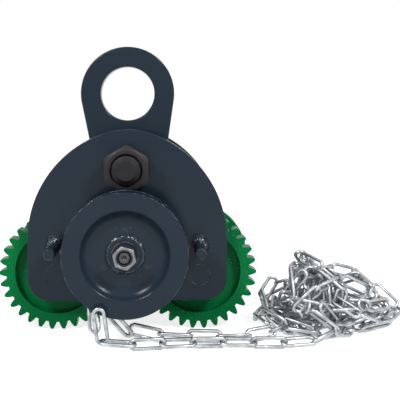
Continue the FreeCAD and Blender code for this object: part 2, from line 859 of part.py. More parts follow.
def chain_link():
    """One welded link about the origin, its length along X and its width along Z."""
    wire = s.chain_wire_radius.number
    bend = s.chain_link_width.number / 2 - wire
    half = s.chain_pitch.number / 2 + wire - bend
    corners = [FreeCAD.Vector(x * half, 0, z * bend) for x, z in ((-1, -1), (1, -1), (1, 1), (-1, 1))]
    tips = [FreeCAD.Vector(half + bend, 0, 0), FreeCAD.Vector(-half - bend, 0, 0)]
    path = Part.Wire(
        [
            Part.LineSegment(corners[0], corners[1]).toShape(),
            Part.Arc(corners[1], tips[0], corners[2]).toShape(),
            Part.LineSegment(corners[2], corners[3]).toShape(),
            Part.Arc(corners[3], tips[1], corners[0]).toShape(),
        ]
    )
    section = Part.Wire(Part.Circle(corners[0], FreeCAD.Vector(1, 0, 0), wire).toShape())
    return path.makePipeShell([section], True, False)


link = chain_link()
wrapped = []
seat = s.chain_seat_radius.number
wrap_chord = s.chain_pitch.number - s.chain_slack.number
wrap_step = 2 * math.degrees(math.asin(wrap_chord / (2 * seat)))
quarter_turn = 90
for number in range(round(s.wrapped_links.number)):
    copy = link.copy()
    if number % 2:
        copy.rotate(FreeCAD.Vector(), FreeCAD.Vector(1, 0, 0), quarter_turn)
    copy.rotate(FreeCAD.Vector(), y_axis, quarter_turn)
    rise = 0 if number % 2 else s.upright_link_rise.number
    copy.translate(FreeCAD.Vector(seat + rise, 0, 0))
    around = s.wrap_start_angle.number - number * wrap_step
    copy.rotate(FreeCAD.Vector(), y_axis, -around)
    wrapped.append(copy)
wrapped_chain = group("hand_chain_on_wheel", wrapped)
keep(place(wrapped_chain, y=front_y - wheel_middle, z=pinion_z), "hand_chain_on_wheel")

# Route points: across, in front of the rim's face or of the wheel's middle, up from the lying chain
front_steps = [(-28, 0, 40.5), (-27, 0, 29.5), (-24.5, 0.2, 19), (-19, 0, 9.5), (-10, -0.8, 3)]
front_steps += [(2, -2.8, 0.3), (18, -6.8, 0), (44, -11.8, 0), (78, -14.8, 0), (116, -13.8, 0)]
front_steps += [(152, -17.8, 0), (182, -33.8, 0)]
rear_steps = [(-8, 0, 1), (4, 0, 0.71), (18, -2, 0.25), (36, -7, 0.03), (64, -14, 0), (98, -17, 0)]
rear_steps += [(130, -21, 0), (160, -30, 0), (184, -44, 0)]
lying = s.chain_link_width.number / 2
rim_ahead = wheel_outer.number + s.chain_rim_gap.number + lying
hang = pinion_z.number - s.chain_wheel_radius.number - lying + s.chain_rim_gap.number / 2 - lying
front_route = [(x, rim_ahead + ahead, lying + up) for x, ahead, up in front_steps]
rear_route = [(x, wheel_middle.number + ahead, lying + up * hang) for x, ahead, up in rear_steps]
bend_share = 0.45


def mound(name, wall):
    """Half an ellipsoid on the floor, smaller than the heap by wall."""
    item = doc.addObject("Part::Ellipsoid", name)
    bind(item, "Radius1", s.heap_height - wall)
    bind(item, "Radius2", s.heap_half_width - wall)
    bind(item, "Radius3", s.heap_half_depth - wall)
    item.Angle1 = 0
    return place(item, s.heap_centre_across, front_y + s.heap_centre_back)


def strand(label, route):
    """A tube of the chain's width along straight runs joined by tangent arcs, trimmed clear of the heap."""
    points = [FreeCAD.Vector(x, -ahead, z) for x, ahead, z in route]
    edges, start = [], points[0]
    radii = []
    for before, point, after in zip(points, points[1:], points[2:]):
        into, onward = (point - before), (after - point)
        turn = into.getAngle(onward)
        reach = bend_share * min(into.Length, onward.Length)
        radius = reach / math.tan(turn / 2)
        radii.append(round(radius))
        first = point - into.normalize() * reach
        last = point + onward.normalize() * reach
        inward = (first + last) / 2 - point
        centre_way = radius / math.cos(turn / 2)
        middle = point + inward.normalize() * (centre_way - radius)
        edges.append(Part.LineSegment(start, first).toShape())
        edges.append(Part.Arc(first, middle, last).toShape())
        start = last
    edges.append(Part.LineSegment(start, points[-1]).toShape())
    path = Part.Wire(edges)
    width = s.chain_link_width.number / 2
    section = Part.Wire(Part.Circle(points[0], points[1] - points[0], width).toShape())
    tube = path.makePipeShell([section], True, False)
    share = tube.Volume / (math.pi * width**2 * path.Length)
    print(f"{label}: {path.Length:.0f} mm long, radii {radii}, volume share {share:.4f}")
    item = doc.addObject("Part::Feature", f"{label}_tube")
    item.Shape = tube
    place(item, y=front_y)
    keep(cut_from(label, item, mound(f"{label}_clearance", -s.heap_strand_gap)), label)


strand("hand_chain_front_strand", front_route)
strand("hand_chain_rear_strand", rear_route)

# The heap is mostly air, so its solid is a thin dome that is open underneath.
heap = cut_from("hand_chain_heap", mound("heap_mound", nothing), mound("heap_hollow", s.heap_wall))
keep(heap, "hand_chain_heap")


# Check and write
doc.recompute()
for item in doc.Objects:
    if "Invalid" in item.State or "Error" in item.State:
        raise RuntimeError(f"{item.Label} did not compute: {item.State}")
for item in sub_parts:
    if item.Shape.isNull() or not item.Shape.isValid():
        raise RuntimeError(f"{item.Label} has no valid shape")
os.makedirs("parts", exist_ok=True)
for item in sub_parts:
    item.Shape.exportStep(f"parts/{item.Label}.step")
print(len(sub_parts), "sub-parts")
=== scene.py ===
import json
import math
import random

import bmesh
import bpy
import numpy as np
from mathutils import Matrix, Vector, noise

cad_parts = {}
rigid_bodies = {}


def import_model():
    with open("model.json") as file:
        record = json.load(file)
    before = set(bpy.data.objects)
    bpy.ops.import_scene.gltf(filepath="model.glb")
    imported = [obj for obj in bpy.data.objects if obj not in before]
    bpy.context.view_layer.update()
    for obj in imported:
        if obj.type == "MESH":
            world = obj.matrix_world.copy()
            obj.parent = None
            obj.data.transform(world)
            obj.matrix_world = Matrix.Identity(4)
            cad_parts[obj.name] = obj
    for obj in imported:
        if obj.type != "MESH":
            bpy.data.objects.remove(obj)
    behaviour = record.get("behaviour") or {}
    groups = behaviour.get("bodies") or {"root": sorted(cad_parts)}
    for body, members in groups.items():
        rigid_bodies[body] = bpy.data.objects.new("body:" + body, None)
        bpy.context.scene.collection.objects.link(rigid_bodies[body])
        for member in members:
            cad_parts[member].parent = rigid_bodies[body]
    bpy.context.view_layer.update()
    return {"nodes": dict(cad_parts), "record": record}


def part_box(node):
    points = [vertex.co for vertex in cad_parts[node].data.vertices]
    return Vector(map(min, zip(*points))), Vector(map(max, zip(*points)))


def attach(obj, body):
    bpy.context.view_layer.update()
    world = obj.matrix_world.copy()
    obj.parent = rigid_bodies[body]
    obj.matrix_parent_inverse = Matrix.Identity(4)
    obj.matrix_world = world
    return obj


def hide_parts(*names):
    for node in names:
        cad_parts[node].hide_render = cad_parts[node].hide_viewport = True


for leftOver in list(bpy.data.objects):
    bpy.data.objects.remove(leftOver)
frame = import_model()
nodes = frame["nodes"]
collection = bpy.context.scene.collection
mm = 0.001
noiseLow, noiseHigh = 0.3, 0.7   # the range that most of a noise texture lies in
print("stage: frame loaded,", len(nodes), "nodes")


# small helpers

def linear(hexColour):
    parts = [int(hexColour[k:k + 2], 16) / 255 for k in (1, 3, 5)]
    return tuple(c / 12.92 if c <= 0.04045 else ((c + 0.055) / 1.055) ** 2.4 for c in parts) + (1.0,)


def feed(tree, node, inputs):
    for key, value in inputs.items():
        if isinstance(value, bpy.types.NodeSocket):
            tree.links.new(value, node.inputs[key])
        else:
            node.inputs[key].default_value = value


def addNode(tree, kind, inputs=None, **settings):
    node = tree.nodes.new(kind)
    for name, value in settings.items():
        setattr(node, name, value)
    feed(tree, node, inputs or {})
    return node


def middleOf(node):
    low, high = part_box(node)
    return (low + high) / 2


# edges sharper than these angles, in degrees, stay crisp
sharpThread, sharpNut, sharpWeld = 25, 28, 60


def shapedMesh(name, made, sharpFrom):
    bmesh.ops.recalc_face_normals(made, faces=made.faces)
    mesh = bpy.data.meshes.new(name)
    made.to_mesh(mesh)
    made.free()
    mesh.shade_smooth()
    mesh.set_sharp_from_angle(angle=math.radians(sharpFrom))
    return mesh


def plainMesh(carrier, name):
    graph = bpy.context.evaluated_depsgraph_get()
    mesh = bpy.data.meshes.new_from_object(carrier.evaluated_get(graph))
    mesh.name = name
    return mesh


def newPiece(name, mesh, slotName, body, *replaced, finish=None):
    piece = bpy.data.objects.new(name, mesh)
    collection.objects.link(piece)
    mesh.materials.clear()
    mesh.materials.append(finish or finishes[slotName])
    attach(piece, body)
    if replaced:
        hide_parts(*replaced)
    return piece


# camera at the photograph's place, turned a little to the right and down
camera = {
    "place": (0.0370, -0.7424, 0.2348),
    "turnRight": 1.30,
    "turnDown": 1.80,
    "lens": 56.62,
    "sensor": 36,
    "shift": (0.06, -0.16),
}
cameraData = bpy.data.cameras.new("camera")
cameraData.lens = camera["lens"]
cameraData.sensor_width = camera["sensor"]
cameraData.shift_x, cameraData.shift_y = camera["shift"]
cameraObject = bpy.data.objects.new("camera", cameraData)
cameraObject.location = camera["place"]
cameraObject.rotation_euler = (math.radians(90 - camera["turnDown"]), 0, math.radians(-camera["turnRight"]))
collection.objects.link(cameraObject)
bpy.context.scene.camera = cameraObject
bpy.context.scene.view_settings.view_transform = "Standard"

# white studio: a softbox high at each side, a paper floor that runs into a white backdrop
studio = {
    "floorSize": 9.0,
    "floorColour": "#D2D3D4",
    "floorGlow": 0.80,
    "worldLow": 0.08,
    "worldHigh": 0.40,
    "worldFrom": (-0.2, 0.9),
    "lamps": [
        {
            "name": "leftSoftbox", "place": (-1.20, -1.24, 1.68), "aim": (0.02, -0.08, 0.1),
            "size": 0.50, "power": 28.0,
        },
        {
            "name": "rightSoftbox", "place": (1.20, -1.24, 1.68), "aim": (0.02, -0.08, 0.1),
            "size": 0.50, "power": 28.0,
        },
    ],
}
world = bpy.data.worlds.new("whiteStudio")
bpy.context.scene.world = world
world.use_nodes = True
tree = world.node_tree
tree.nodes.clear()
direction = addNode(tree, "ShaderNodeTexCoord").outputs["Generated"]
heightAbove = addNode(tree, "ShaderNodeSeparateXYZ", {0: direction}).outputs["Z"]
level = addNode(tree, "ShaderNodeMapRange", {
    "Value": heightAbove, "From Min": studio["worldFrom"][0], "From Max": studio["worldFrom"][1],
    "To Min": studio["worldLow"], "To Max": studio["worldHigh"],
}).outputs["Result"]
lit = addNode(tree, "ShaderNodeBackground", {"Color": (1, 1, 1, 1), "Strength": level}).outputs[0]
seen = addNode(tree, "ShaderNodeBackground", {"Color": (1, 1, 1, 1), "Strength": 1.0}).outputs[0]


def seenRays(tree):
    # the camera, gloss and glass all see the white backdrop
    rays = addNode(tree, "ShaderNodeLightPath").outputs
    shiny = addNode(tree, "ShaderNodeMath", {0: rays["Is Glossy Ray"], 1: rays["Is Transmission Ray"]},
                    operation="MAXIMUM").outputs[0]
    return addNode(tree, "ShaderNodeMath", {
        0: rays["Is Camera Ray"], 1: shiny,
    }, operation="MAXIMUM").outputs[0]


mixed = addNode(tree, "ShaderNodeMixShader", {0: seenRays(tree), 1: lit, 2: seen}).outputs[0]
addNode(tree, "ShaderNodeOutputWorld", {"Surface": mixed})

for lamp in studio["lamps"]:
    lampData = bpy.data.lights.new(lamp["name"], "AREA")
    lampData.size = lamp["size"]
    lampData.energy = lamp["power"]
    lampObject = bpy.data.objects.new(lamp["name"], lampData)
    lampObject.location = lamp["place"]
    aim = Vector(lamp["aim"]) - Vector(lamp["place"])
    lampObject.rotation_euler = aim.to_track_quat("-Z", "Y").to_euler()
    collection.objects.link(lampObject)

floorShape = bmesh.new()
bmesh.ops.create_grid(floorShape, x_segments=1, y_segments=1, size=studio["floorSize"] / 2)
floorMesh = bpy.data.meshes.new("studioFloor")
floorShape.to_mesh(floorMesh)
floorShape.free()
floorMaterial = bpy.data.materials.new("matt white paper sweep")
floorMaterial.use_nodes = True
tree = floorMaterial.node_tree
tree.nodes.clear()
paper = addNode(tree, "ShaderNodeBsdfDiffuse", {"Color": linear(studio["floorColour"])}).outputs[0]
glowLevel = addNode(tree, "ShaderNodeMath", {
    0: seenRays(tree), 1: studio["floorGlow"],
}, operation="MULTIPLY").outputs[0]
glow = addNode(tree, "ShaderNodeEmission", {"Color": (1, 1, 1, 1), "Strength": glowLevel}).outputs[0]
both = addNode(tree, "ShaderNodeAddShader", {0: paper, 1: glow}).outputs[0]
addNode(tree, "ShaderNodeOutputMaterial", {"Surface": both})
floorMesh.materials.append(floorMaterial)
floorObject = bpy.data.objects.new("studioFloor", floorMesh)
collection.objects.link(floorObject)
print("stage: camera, floor and lamps")


# finishes: each starts with an empty shader on Object coordinates

def startFinish(name):
    material = bpy.data.materials.new(name)
    material.use_nodes = True
    tree = material.node_tree
    tree.nodes.clear()
    place = addNode(tree, "ShaderNodeTexCoord").outputs["Object"]
    shader = addNode(tree, "ShaderNodeBsdfPrincipled")
    addNode(tree, "ShaderNodeOutputMaterial", {"Surface": shader.outputs[0]})
    return material, tree, place, shader


# edges: how far the rounded normal turns from the face before the edge counts in the edge mask, which marks
# worn edges and, on the slate enamel, a painted highlight
edgeMask = {"samples": 6, "agreeFrom": (0.985, 0.88)}


def edgeOf(tree, radius):
    # a rounded normal, and a mask that is 1 along sharp outer and inner edges
    bevel = addNode(tree, "ShaderNodeBevel", {"Radius": radius}, samples=edgeMask["samples"])
    rounded = bevel.outputs["Normal"]
    flat = addNode(tree, "ShaderNodeNewGeometry").outputs["Normal"]
    agree = addNode(tree, "ShaderNodeVectorMath", {
        0: rounded, 1: flat,
    }, operation="DOT_PRODUCT").outputs["Value"]
    mask = addNode(tree, "ShaderNodeMapRange", {
        "Value": agree, "From Min": edgeMask["agreeFrom"][0], "From Max": edgeMask["agreeFrom"][1],
    }).outputs["Result"]
    return rounded, mask


# slate enamel sprayed on steel plate: satin, faint orange peel, dust nibs, and paler patches along the edges,
# partly rubbed paint and partly a painted highlight
slateEnamel = {
    # the pale edge colour is partly rubbed paint and partly a painted highlight along the edges
    "colour": "#222F3B", "deeper": "#1E2A36", "paleEdgeColour": "#8A959D",
    "cloud": 45 * mm, "peel": 2.4 * mm, "peelDepth": 0.03 * mm,
    "nibSpacing": 11 * mm, "nibShare": 0.035, "edge": 0.9 * mm,
    "paleEdgePatch": 7 * mm, "paleEdgeFrom": (0.45, 0.58),
    "roughness": (0.16, 0.23), "gloss": 0.16,
}
weldEnamel = dict(slateEnamel, name="slate enamel sprayed on weld bead", roughness=(0.10, 0.18), gloss=0.55)


def makeSlateEnamel(look):
    material, tree, place, shader = startFinish(look.get("name", "slate enamel sprayed on steel"))
    cloud = addNode(tree, "ShaderNodeTexNoise", {
        "Vector": place, "Scale": 1 / look["cloud"], "Detail": 3.0,
    }).outputs[0]
    peel = addNode(tree, "ShaderNodeTexNoise", {
        "Vector": place, "Scale": 1 / look["peel"], "Detail": 1.0,
    }).outputs[0]
    cells = addNode(tree, "ShaderNodeTexVoronoi", {
        "Vector": place, "Scale": 1 / look["nibSpacing"],
    }).outputs["Distance"]
    nibs = addNode(tree, "ShaderNodeMapRange", {
        "Value": cells, "From Min": look["nibShare"], "From Max": 0.0, "To Max": 2.0,
    }).outputs["Result"]
    height = addNode(tree, "ShaderNodeMath", {0: peel, 1: nibs}, operation="ADD").outputs[0]
    rounded, edges = edgeOf(tree, look["edge"])
    patches = addNode(tree, "ShaderNodeTexNoise", {
        "Vector": place, "Scale": 1 / look["paleEdgePatch"], "Detail": 4.0,
    }).outputs[0]
    rubAndHighlightPatches = addNode(tree, "ShaderNodeMapRange", {
        "Value": patches, "From Min": look["paleEdgeFrom"][0], "From Max": look["paleEdgeFrom"][1],
    }).outputs["Result"]
    # where edges and patches meet, the paler colour is partly rubbed paint and partly a painted highlight
    rubAndHighlight = addNode(tree, "ShaderNodeMath", {0: edges, 1: rubAndHighlightPatches}, operation="MULTIPLY").outputs[0]
    paint = addNode(tree, "ShaderNodeMix", {0: cloud, 6: linear(look["colour"]), 7: linear(look["deeper"])},
                    data_type="RGBA").outputs[2]
    colour = addNode(tree, "ShaderNodeMix", {
        0: rubAndHighlight, 6: paint, 7: linear(look["paleEdgeColour"]),
    }, data_type="RGBA").outputs[2]
    rough = addNode(tree, "ShaderNodeMapRange", {
        "Value": cloud, "From Min": noiseLow, "From Max": noiseHigh,
        "To Min": look["roughness"][0], "To Max": look["roughness"][1],
    }).outputs["Result"]
    normal = addNode(tree, "ShaderNodeBump", {
        "Strength": 1.0, "Distance": look["peelDepth"], "Height": height, "Normal": rounded,
    }).outputs[0]
    feed(tree, shader, {
        "Base Color": colour, "Roughness": rough, "Normal": normal,
        "Specular IOR Level": look["gloss"],
    })
    return material


# green enamel brushed on cast iron: deep, with the casting's grain under it and pale chips
greenEnamel = {
    "colour": "#007E41", "deeper": "#006E38", "chip": "#B4DCC3",
    "cloud": 24 * mm, "grain": 3.0 * mm, "grainDepth": 0.08 * mm,
    "chipSpacing": 3.2 * mm, "chipShare": 0.11, "chipCore": 0.6,
    "chipPatch": 34 * mm, "chippedFrom": (0.47, 0.54), "edge": 0.7 * mm, "worn": "#2E9A63", "wornShare": 0.45,
    "roughness": (0.16, 0.26), "gloss": 0.05,
}


def makeGreenEnamel(look):
    material, tree, place, shader = startFinish("green enamel brushed on cast iron")
    cloud = addNode(tree, "ShaderNodeTexNoise", {
        "Vector": place, "Scale": 1 / look["cloud"], "Detail": 3.0,
    }).outputs[0]
    grain = addNode(tree, "ShaderNodeTexNoise", {
        "Vector": place, "Scale": 1 / look["grain"], "Detail": 3.0,
    }).outputs[0]
    cells = addNode(tree, "ShaderNodeTexVoronoi", {
        "Vector": place, "Scale": 1 / look["chipSpacing"],
    }).outputs["Distance"]
    spots = addNode(tree, "ShaderNodeMapRange", {
        "Value": cells, "From Min": look["chipShare"], "From Max": look["chipShare"] * look["chipCore"],
    }).outputs["Result"]
    zones = addNode(tree, "ShaderNodeTexNoise", {
        "Vector": place, "Scale": 1 / look["chipPatch"],
    }).outputs[0]
    some = addNode(tree, "ShaderNodeMapRange", {
        "Value": zones, "From Min": look["chippedFrom"][0], "From Max": look["chippedFrom"][1],
    }).outputs["Result"]
    chips = addNode(tree, "ShaderNodeMath", {0: spots, 1: some}, operation="MULTIPLY").outputs[0]
    rounded, edges = edgeOf(tree, look["edge"])
    paint = addNode(tree, "ShaderNodeMix", {0: cloud, 6: linear(look["colour"]), 7: linear(look["deeper"])},
                    data_type="RGBA").outputs[2]
    thin = addNode(tree, "ShaderNodeMath", {0: edges, 1: look["wornShare"]}, operation="MULTIPLY").outputs[0]
    paleEdgeColour = addNode(tree, "ShaderNodeMix", {
        0: thin, 6: paint, 7: linear(look["worn"]),
    }, data_type="RGBA").outputs[2]
    colour = addNode(tree, "ShaderNodeMix", {
        0: chips, 6: paleEdgeColour, 7: linear(look["chip"]),
    }, data_type="RGBA").outputs[2]
    rough = addNode(tree, "ShaderNodeMapRange", {
        "Value": cloud, "From Min": noiseLow, "From Max": noiseHigh,
        "To Min": look["roughness"][0], "To Max": look["roughness"][1],
    }).outputs["Result"]
    normal = addNode(tree, "ShaderNodeBump", {
        "Strength": 1.0, "Distance": look["grainDepth"], "Height": grain, "Normal": rounded,
    }).outputs[0]
    feed(tree, shader, {
        "Base Color": colour, "Roughness": rough, "Normal": normal,
        "Specular IOR Level": look["gloss"],
    })
    return material


# zinc plated drawn wire: bright grey metal with a dull bloom in patches and a fine grit
zincWire = {
    "bright": "#BEC2C5", "dull": "#94989B", "bloom": 9 * mm, "bloomFrom": (0.38, 0.66),
    "grit": 0.9 * mm, "gritDepth": 0.03 * mm, "roughness": (0.30, 0.50),
}


def makeZincWire(look):
    material, tree, place, shader = startFinish("zinc plated drawn wire")
    bloom = addNode(tree, "ShaderNodeTexNoise", {
        "Vector": place, "Scale": 1 / look["bloom"], "Detail": 4.0,
    }).outputs[0]
    share = addNode(tree, "ShaderNodeMapRange", {
        "Value": bloom, "From Min": look["bloomFrom"][0], "From Max": look["bloomFrom"][1],
    }).outputs["Result"]
    grit = addNode(tree, "ShaderNodeTexNoise", {
        "Vector": place, "Scale": 1 / look["grit"], "Detail": 2.0,
    }).outputs[0]
    colour = addNode(tree, "ShaderNodeMix", {0: share, 6: linear(look["bright"]), 7: linear(look["dull"])},
                     data_type="RGBA").outputs[2]
    rough = addNode(tree, "ShaderNodeMapRange", {
        "Value": share, "To Min": look["roughness"][0], "To Max": look["roughness"][1],
    }).outputs["Result"]
    normal = addNode(tree, "ShaderNodeBump", {
        "Strength": 1.0, "Distance": look["gritDepth"], "Height": grit,
    }).outputs[0]
    feed(tree, shader, {"Base Color": colour, "Roughness": rough, "Normal": normal, "Metallic": 1.0})
    return material


# black oxide on forged steel: dark grey, dull, hammered by the forging, greyer along the edges
blackOxide = {
    "colour": "#2A292B", "warmer": "#332F31", "edgeGrey": "#514E50", "edgeShare": 0.6, "patch": 9 * mm,
    "hammer": 4.0 * mm, "hammerDepth": 0.12 * mm, "edge": 0.7 * mm,
    "roughness": (0.40, 0.56), "metallic": 0.25, "gloss": 0.20,
}


def makeBlackOxide(look):
    material, tree, place, shader = startFinish("black oxide on forged steel")
    patch = addNode(tree, "ShaderNodeTexNoise", {
        "Vector": place, "Scale": 1 / look["patch"], "Detail": 5.0,
    }).outputs[0]
    hammer = addNode(tree, "ShaderNodeTexNoise", {
        "Vector": place, "Scale": 1 / look["hammer"], "Detail": 3.0,
    }).outputs[0]
    rounded, edges = edgeOf(tree, look["edge"])
    base = addNode(tree, "ShaderNodeMix", {0: patch, 6: linear(look["colour"]), 7: linear(look["warmer"])},
                   data_type="RGBA").outputs[2]
    worn = addNode(tree, "ShaderNodeMath", {0: edges, 1: look["edgeShare"]}, operation="MULTIPLY").outputs[0]
    colour = addNode(tree, "ShaderNodeMix", {
        0: worn, 6: base, 7: linear(look["edgeGrey"]),
    }, data_type="RGBA").outputs[2]
    rough = addNode(tree, "ShaderNodeMapRange", {
        "Value": patch, "From Min": noiseLow, "From Max": noiseHigh,
        "To Min": look["roughness"][0], "To Max": look["roughness"][1],
    }).outputs["Result"]
    normal = addNode(tree, "ShaderNodeBump", {
        "Strength": 1.0, "Distance": look["hammerDepth"], "Height": hammer, "Normal": rounded,
    }).outputs[0]
    feed(tree, shader, {
        "Base Color": colour, "Roughness": rough, "Normal": normal, "Metallic": look["metallic"],
        "Specular IOR Level": look["gloss"],
    })
    return material


# zinc plated nut: dull bright metal, a little mottled, with softened edges
zincNut = {
    "bright": "#84868A", "dull": "#696B6E", "mottle": 4 * mm, "edge": 0.4 * mm,
    "roughness": (0.36, 0.52),
}


def makeZincNut(look):
    material, tree, place, shader = startFinish(look.get("name", "zinc plated pressed steel"))
    mottle = addNode(tree, "ShaderNodeTexNoise", {
        "Vector": place, "Scale": 1 / look["mottle"], "Detail": 4.0,
    }).outputs[0]
    rounded = edgeOf(tree, look["edge"])[0]
    colour = addNode(tree, "ShaderNodeMix", {0: mottle, 6: linear(look["bright"]), 7: linear(look["dull"])},
                     data_type="RGBA").outputs[2]
    rough = addNode(tree, "ShaderNodeMapRange", {
        "Value": mottle, "From Min": noiseLow, "From Max": noiseHigh,
        "To Min": look["roughness"][0], "To Max": look["roughness"][1],
    }).outputs["Result"]
    feed(tree, shader, {"Base Color": colour, "Roughness": rough, "Normal": rounded, "Metallic": 1.0})
    return material


# black nylon moulded: matt, slightly grainy plastic
nylon = {
    "colour": "#171A1E", "paler": "#22262B", "grain": 0.8 * mm, "grainDepth": 0.03 * mm,
    "roughness": 0.5, "ior": 1.53,
}


def makeNylon(look):
    material, tree, place, shader = startFinish("black nylon moulded")
    grain = addNode(tree, "ShaderNodeTexNoise", {
        "Vector": place, "Scale": 1 / look["grain"], "Detail": 2.0,
    }).outputs[0]
    colour = addNode(tree, "ShaderNodeMix", {0: grain, 6: linear(look["colour"]), 7: linear(look["paler"])},
                     data_type="RGBA").outputs[2]
    normal = addNode(tree, "ShaderNodeBump", {
        "Strength": 1.0, "Distance": look["grainDepth"], "Height": grain,
    }).outputs[0]
    feed(tree, shader, {
        "Base Color": colour, "Normal": normal, "Roughness": look["roughness"], "IOR": look["ior"],
    })
    return material


# sintered bronze bush: warm metal with open pores
bronze = {
    "colour": "#8F6433", "brighter": "#AD8049", "pore": 1.0 * mm, "poreDepth": 0.04 * mm,
    "roughness": (0.3, 0.5),
}


def makeBronze(look):
    material, tree, place, shader = startFinish("sintered bronze pressed")
    pores = addNode(tree, "ShaderNodeTexNoise", {
        "Vector": place, "Scale": 1 / look["pore"], "Detail": 3.0,
    }).outputs[0]
    colour = addNode(tree, "ShaderNodeMix", {
        0: pores, 6: linear(look["colour"]), 7: linear(look["brighter"]),
    }, data_type="RGBA").outputs[2]
    rough = addNode(tree, "ShaderNodeMapRange", {
        "Value": pores, "To Min": look["roughness"][0], "To Max": look["roughness"][1],
    }).outputs["Result"]
    normal = addNode(tree, "ShaderNodeBump", {
        "Strength": 1.0, "Distance": look["poreDepth"], "Height": pores,
    }).outputs[0]
    feed(tree, shader, {"Base Color": colour, "Roughness": rough, "Normal": normal, "Metallic": 1.0})
    return material


# wheel axis: distance from the nearer axle, from which turned and ground steel take their rings
axleMiddle = middleOf("right_geared_axle")


def ringCoordinates(tree, place):
    split = addNode(tree, "ShaderNodeSeparateXYZ", {0: place}).outputs
    right = addNode(tree, "ShaderNodeMath", {0: split["X"]}, operation="ABSOLUTE").outputs[0]
    across = addNode(tree, "ShaderNodeMath", {0: right, 1: axleMiddle.x}, operation="SUBTRACT").outputs[0]
    up = addNode(tree, "ShaderNodeMath", {0: split["Z"], 1: axleMiddle.z}, operation="SUBTRACT").outputs[0]
    flat = addNode(tree, "ShaderNodeCombineXYZ", {"X": across, "Z": up}).outputs[0]
    away = addNode(tree, "ShaderNodeVectorMath", {0: flat}, operation="LENGTH").outputs["Value"]
    rings = addNode(tree, "ShaderNodeCombineXYZ", {"X": away, "Y": split["Y"]}).outputs[0]
    return away, split["Y"], rings


# turned axle steel: grey metal with turning rings, painted over with the plate where the end is flush
axleSteel = {
    "colour": "#7D8185", "darker": "#5F6367", "paint": slateEnamel["colour"], "crack": "#11171D",
    "line": 0.5 * mm, "lineDepth": 0.02 * mm, "paintDepth": 0.6 * mm,
    "crackFrom": 10.45 * mm, "crackTo": 10.8 * mm, "roughness": 0.3, "gloss": slateEnamel["gloss"],
}


def makeAxleSteel(look):
    material, tree, place, shader = startFinish("turned axle steel, ends painted")
    away, along, rings = ringCoordinates(tree, place)
    lines = addNode(tree, "ShaderNodeTexNoise", {
        "Vector": rings, "Scale": 1 / look["line"], "Detail": 2.0,
    }).outputs[0]
    metal = addNode(tree, "ShaderNodeMix", {0: lines, 6: linear(look["colour"]), 7: linear(look["darker"])},
                    data_type="RGBA").outputs[2]
    plateFront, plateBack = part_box("front_side_plate")[0].y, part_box("rear_side_plate")[1].y
    front = addNode(tree, "ShaderNodeMath", {
        0: along, 1: plateFront + look["paintDepth"],
    }, operation="LESS_THAN").outputs[0]
    back = addNode(tree, "ShaderNodeMath", {
        0: along, 1: plateBack - look["paintDepth"],
    }, operation="GREATER_THAN").outputs[0]
    painted = addNode(tree, "ShaderNodeMath", {0: front, 1: back}, operation="MAXIMUM").outputs[0]
    crack = addNode(tree, "ShaderNodeMapRange", {
        "Value": away, "From Min": look["crackFrom"], "From Max": look["crackTo"],
    }).outputs["Result"]
    paint = addNode(tree, "ShaderNodeMix", {0: crack, 6: linear(look["paint"]), 7: linear(look["crack"])},
                    data_type="RGBA").outputs[2]
    colour = addNode(tree, "ShaderNodeMix", {0: painted, 6: metal, 7: paint}, data_type="RGBA").outputs[2]
    metallic = addNode(tree, "ShaderNodeMath", {0: 1.0, 1: painted}, operation="SUBTRACT").outputs[0]
    normal = addNode(tree, "ShaderNodeBump", {
        "Strength": 1.0, "Distance": look["lineDepth"], "Height": lines,
    }).outputs[0]
    feed(tree, shader, {
        "Base Color": colour, "Roughness": look["roughness"], "Metallic": metallic, "Normal": normal,
        "Specular IOR Level": look["gloss"],
    })
    return material


# ground bearing steel: pale metal with very fine rings, drawn coarser here so that they show
bearingSteel = {
    "bright": "#B9BCBE", "dull": "#989B9D", "line": 0.7 * mm, "lineDepth": 0.01 * mm,
    "roughness": (0.2, 0.32),
}


def makeBearingSteel(look):
    material, tree, place, shader = startFinish("ground bearing steel")
    rings = ringCoordinates(tree, place)[2]
    lines = addNode(tree, "ShaderNodeTexNoise", {
        "Vector": rings, "Scale": 1 / look["line"], "Detail": 2.0,
    }).outputs[0]
    colour = addNode(tree, "ShaderNodeMix", {0: lines, 6: linear(look["bright"]), 7: linear(look["dull"])},
                     data_type="RGBA").outputs[2]
    rough = addNode(tree, "ShaderNodeMapRange", {
        "Value": lines, "To Min": look["roughness"][0], "To Max": look["roughness"][1],
    }).outputs["Result"]
    normal = addNode(tree, "ShaderNodeBump", {
        "Strength": 1.0, "Distance": look["lineDepth"], "Height": lines,
    }).outputs[0]
    feed(tree, shader, {"Base Color": colour, "Roughness": rough, "Normal": normal, "Metallic": 1.0})
    return material


# oiled steel: turned and dark under a film of oxide and oil, uneven in its gloss
oiledSteel = {
    "colour": "#2B2A2D", "deeper": "#242225", "film": 12 * mm, "mark": 1.2 * mm, "markDepth": 0.02 * mm,
    "edge": 0.4 * mm, "roughness": (0.45, 0.60), "metallic": 0.35, "gloss": 0.20,
}


